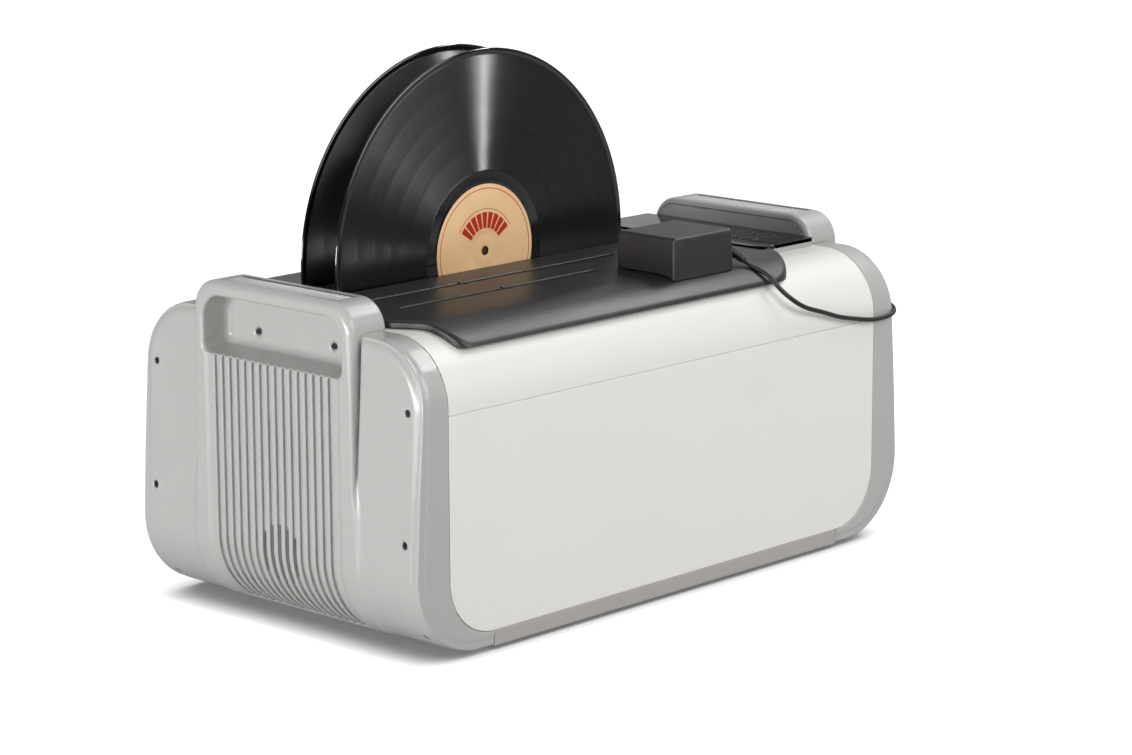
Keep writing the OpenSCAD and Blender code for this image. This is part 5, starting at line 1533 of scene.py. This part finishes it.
def makeGripTree(finish):
    # round-backed ribs side by side along Y
    graph = GeometryGraph("gripRibs", {"Count": 29, "Pitch": 0.004, "Length": 0.0198, "Radius": 0.0014,
        "Place": (0.245, 0, 0.2445)})
    given = graph.given
    half = graph.times(given["Length"], 0.5)
    first = graph.out("ShaderNodeCombineXYZ", {0: graph.times(half, -1.0)})
    last = graph.out("ShaderNodeCombineXYZ", {0: half})
    line = graph.out("GeometryNodeCurvePrimitiveLine", {"Start": first, "End": last})
    finer = graph.out("GeometryNodeResampleCurve", {"Curve": line, "Count": 9})
    factor = graph.add("GeometryNodeSplineParameter").outputs["Factor"]
    middle = graph.times(factor, graph.math("SUBTRACT", 1.0, factor))
    taper = graph.math("POWER", graph.times(middle, 4.0), 0.16)
    thick = graph.out("GeometryNodeSetCurveRadius", {"Curve": finer, "Radius": taper})
    ring = graph.out("GeometryNodeCurvePrimitiveCircle", {"Resolution": 14, "Radius": given["Radius"]})
    rib = graph.add("GeometryNodeCurveToMesh", {"Curve": thick, "Profile Curve": ring, "Scale": taper})
    rib.inputs["Fill Caps"].default_value = True
    row = graph.out("GeometryNodeMeshLine", {"Count": given["Count"], "Offset": graph.out(
        "ShaderNodeCombineXYZ", {1: given["Pitch"]})})
    reach = graph.times(graph.math("SUBTRACT", given["Count"], 1.0), graph.times(given["Pitch"], -0.5))
    centred = graph.out("GeometryNodeTransform", {"Geometry": row, "Translation": graph.out(
        "ShaderNodeCombineXYZ", {1: reach})})
    stood = graph.out("GeometryNodeInstanceOnPoints", {"Points": centred, "Instance": rib.outputs[0]})
    moved = graph.out("GeometryNodeTransform", {"Geometry": stood, "Translation": given["Place"]})
    graph.finish(moved, finish)
    return graph.tree


gripTree = makeGripTree(finishes["greyCap"])
for side, label in ((-1, "Left"), (1, "Right")):
    mesh = bakeTree("gripRibs" + label, gripTree, bpy.data.meshes.new("none"),
        {"Place": (side * 0.245, 0.0, 0.24455), "Count": 29, "Pitch": 0.00396, "Radius": 0.00125})
    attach(linkPiece("gripRibs" + label, smoothed(facesOut(mesh))), "housing")


def makeMarkTree(finish):
    # thin printed rings, one on every point, whose size the point carries
    graph = GeometryGraph("panelMarks", {"Line": 0.00035, "Thickness": 0.00006})
    given = graph.given
    ring = graph.out("GeometryNodeCurvePrimitiveCircle", {"Resolution": 40, "Radius": 1.0})
    size = graph.out("GeometryNodeInputNamedAttribute", {"Name": "size"}, data_type="FLOAT")
    stood = graph.out("GeometryNodeInstanceOnPoints", {"Points": graph.out("GeometryNodeMeshToPoints", {
        "Mesh": given["Geometry"]}), "Instance": ring, "Scale": graph.out(
        "ShaderNodeCombineXYZ", {0: size, 1: size, 2: size})})
    lines = graph.out("GeometryNodeRealizeInstances", {"Geometry": stood})
    band = graph.out("GeometryNodeCurvePrimitiveQuadrilateral",
        {"Width": given["Line"], "Height": given["Thickness"]})
    tube = graph.out("GeometryNodeCurveToMesh", {"Curve": lines, "Profile Curve": band})
    graph.finish(tube, finish)
    return graph.tree


panelMarks = {"radius": 7.2, "columns": [-53.25, -31.95, -10.65, 10.65, 31.95, 53.25],
    "rows": [186.5, 208.4]}
markSpots = [(x / 1000, y / 1000, 0.23102) for x in panelMarks["rows"] for y in panelMarks["columns"]]
markMesh = bpy.data.meshes.new("markSpots")
markMesh.from_pydata(markSpots, [], [])
markMesh.attributes.new("size", "FLOAT", "POINT").data.foreach_set("value",
    [panelMarks["radius"] / 1000] * len(markSpots))
marks = bakeTree("panelMarks", makeMarkTree(finishes["panelMark"]), markMesh, {"Line": 0.00035})
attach(linkPiece("panelMarks", marks), "housing")
print("screws, grip ribs and marks placed")

# finishes of the pieces that stay as they are

nodeFinishes = {
    "footRubber": ["foot_front_left", "foot_front_right", "foot_back_left", "foot_back_right"],
    "sheetSteel": ["end_plate_left", "end_plate_right"],
    "bathSteel": ["tank"],
    "castMetal": ["transducers", "gear_motor"],
    "heaterRubber": ["tank_heater"],
    "greyValve": ["drain_valve"],
    "redKnob": ["drain_knob", "switch_rocker"],
    "circuitBoard": ["control_board", "generator_board"],
    "blackFitting": ["fan_frame", "fan_rotor", "power_inlet", "switch_frame", "dc_jack"],
    "plateSteel": ["plate_front", "plate_seven", "plate_ten", "plate_back", "tie_rods"],
    "turnedSteel": ["motor_pulley", "drive_shaft_twelve", "idler_shaft_twelve", "drive_shaft_ten",
        "idler_shaft_ten", "drive_shaft_seven", "idler_shaft_seven"],
    "rollerRubber": ["drive_rollers_twelve", "idler_rollers_twelve", "drive_belt"],
}
for finish, nodes in nodeFinishes.items():
    for node in nodes:
        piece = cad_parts[node]
        for material_slot in piece.material_slots:
            material_slot.material = finishes[finish]
        if not piece.material_slots:
            piece.data.materials.append(finishes[finish])
print("frame pieces finished")

# floor, backdrop and light

studio = {
    "floorColor": (0.36, 0.36, 0.36, 1.0),
    "ambient": 0.13,
    "gleam": 0.1,
    "zenith": 0.7,
    "ahead": (0.7272, 0.6864),
    "nearGlow": 0.1,
    "wallGlow": 0.38,
    "lamps": {
        "stripBox": {"place": (1.47, -0.385, 1.776), "aim": (-0.03, 0, 0.3), "along": (0, 1, 0.1),
            "size": (1.3, 0.085), "power": 18},
        "frontBox": {"place": (0.35, -2.2, 1.4), "aim": (0, 0, 0.25), "along": (1, 0, 0),
            "size": (2.4, 1.4), "power": 40},
        "leftBox": {"place": (-2.3, -0.1, 0.24), "aim": (-0.2, 0, 0.14), "along": (0, 1, 0),
            "size": (1.8, 0.36), "power": 43},
    },
}


def makeFloor(spec):
    # a floor that runs up behind the machine into a pale wall, as wide paper does
    ahead = Vector((spec["ahead"][0], spec["ahead"][1], 0))
    aside = Vector((-spec["ahead"][1], spec["ahead"][0], 0))
    way = [(-9.0, 0.0), (-3.0, 0.0), (-1.0, 0.0), (1.0, 0.0), (2.2, 0.0)]
    for i in range(1, 13):
        angle = math.radians(7.5 * i)
        way.append((2.2 + 0.9 * math.sin(angle), 0.9 - 0.9 * math.cos(angle)))
    way.append((3.1, 6.0))
    points, faces = [], []
    for reach, height in way:
        for side in (-8.0, 8.0):
            points.append(ahead * reach + aside * side + Vector((0, 0, height)))
    for i in range(len(way) - 1):
        faces.append((2 * i + 1, 2 * i, 2 * i + 2, 2 * i + 3))
    mesh = bpy.data.meshes.new("studioFloor")
    mesh.from_pydata(points, [], faces)
    mesh.polygons.foreach_set("use_smooth", [True] * len(mesh.polygons))
    floor = bpy.data.objects.new("studioFloor", mesh)
    bpy.context.collection.objects.link(floor)
    made = bpy.data.materials.new("studioFloor")
    made.use_nodes = True
    graph = Graph(made.node_tree)
    made.node_tree.nodes.clear()
    place = graph.add("ShaderNodeSeparateXYZ", {0: objectPoint(graph)})
    x, y, z = place.outputs[0], place.outputs[1], place.outputs[2]
    depth = graph.plus(graph.times(x, spec["ahead"][0]), graph.times(y, spec["ahead"][1]))
    # other rays find the floor and wall glowing, more towards the wall
    glow = graph.ramp(graph.plus(depth, z), 0.7, 2.2, spec["nearGlow"], spec["wallGlow"])
    away = graph.math("SQRT", graph.plus(graph.times(x, x), graph.times(y, y)))
    # seen from the camera the floor shows white, darkened by a painted contact shadow where the AO finds
    # the machine close
    opened = graph.add("ShaderNodeAmbientOcclusion", {"Distance": 0.03}, samples=16).outputs["AO"]
    paintedContactShadow = graph.ramp(opened, 0.25, 0.85, 0.1, 0.97)
    shown = graph.math("MAXIMUM", paintedContactShadow, graph.ramp(away, 0.5, 1.0, 0.0, 1.0))
    seen = graph.add("ShaderNodeLightPath").outputs["Is Camera Ray"]
    strength = graph.plus(graph.times(seen, shown), graph.times(graph.math("SUBTRACT", 1.0, seen), glow))
    plain = graph.out("ShaderNodeBsdfDiffuse", {"Color": spec["floorColor"]})
    light = graph.out("ShaderNodeEmission", {"Color": (1, 1, 1, 1), "Strength": strength})
    both = graph.out("ShaderNodeAddShader", {0: plain, 1: light})
    graph.add("ShaderNodeOutputMaterial", {"Surface": both})
    mesh.materials.append(made)


def makeWorld(spec):
    world = bpy.data.worlds.new("studio")
    bpy.context.scene.world = world
    world.use_nodes = True
    graph = Graph(world.node_tree)
    world.node_tree.nodes.clear()
    path = graph.add("ShaderNodeLightPath")
    seen = graph.math("MAXIMUM", path.outputs["Is Camera Ray"], path.outputs["Is Transmission Ray"])
    # glossy rays meet a soft bright field right overhead
    height = graph.add("ShaderNodeSeparateXYZ", {0: graph.add("ShaderNodeTexCoord").outputs[
        "Generated"]}).outputs[2]
    overhead = graph.ramp(height, 0.72, 0.96, spec["gleam"], spec["zenith"])
    quiet = graph.ramp(path.outputs["Is Glossy Ray"], 0.0, 1.0, spec["ambient"], overhead)
    strength = graph.math("MAXIMUM", seen, quiet)
    sky = graph.out("ShaderNodeBackground", {"Color": (1, 1, 1, 1), "Strength": strength})
    graph.add("ShaderNodeOutputWorld", {"Surface": sky})


def makeLamps(spec):
    for name, lamp in spec["lamps"].items():
        data = bpy.data.lights.new(name, "AREA")
        data.shape = "RECTANGLE"
        data.size, data.size_y = lamp["size"]
        data.energy = lamp["power"]
        light = bpy.data.objects.new(name, data)
        place = Vector(lamp["place"])
        back = (place - Vector(lamp["aim"])).normalized()
        along = Vector(lamp["along"])
        along = (along - back * along.dot(back)).normalized()
        turn = Matrix((along, back.cross(along), back)).transposed()
        light.matrix_world = Matrix.Translation(place) @ turn.to_4x4()
        bpy.context.collection.objects.link(light)


makeFloor(studio)
makeWorld(studio)
makeLamps(studio)
bpy.context.scene.view_settings.view_transform = "Standard"
print("studio lit")
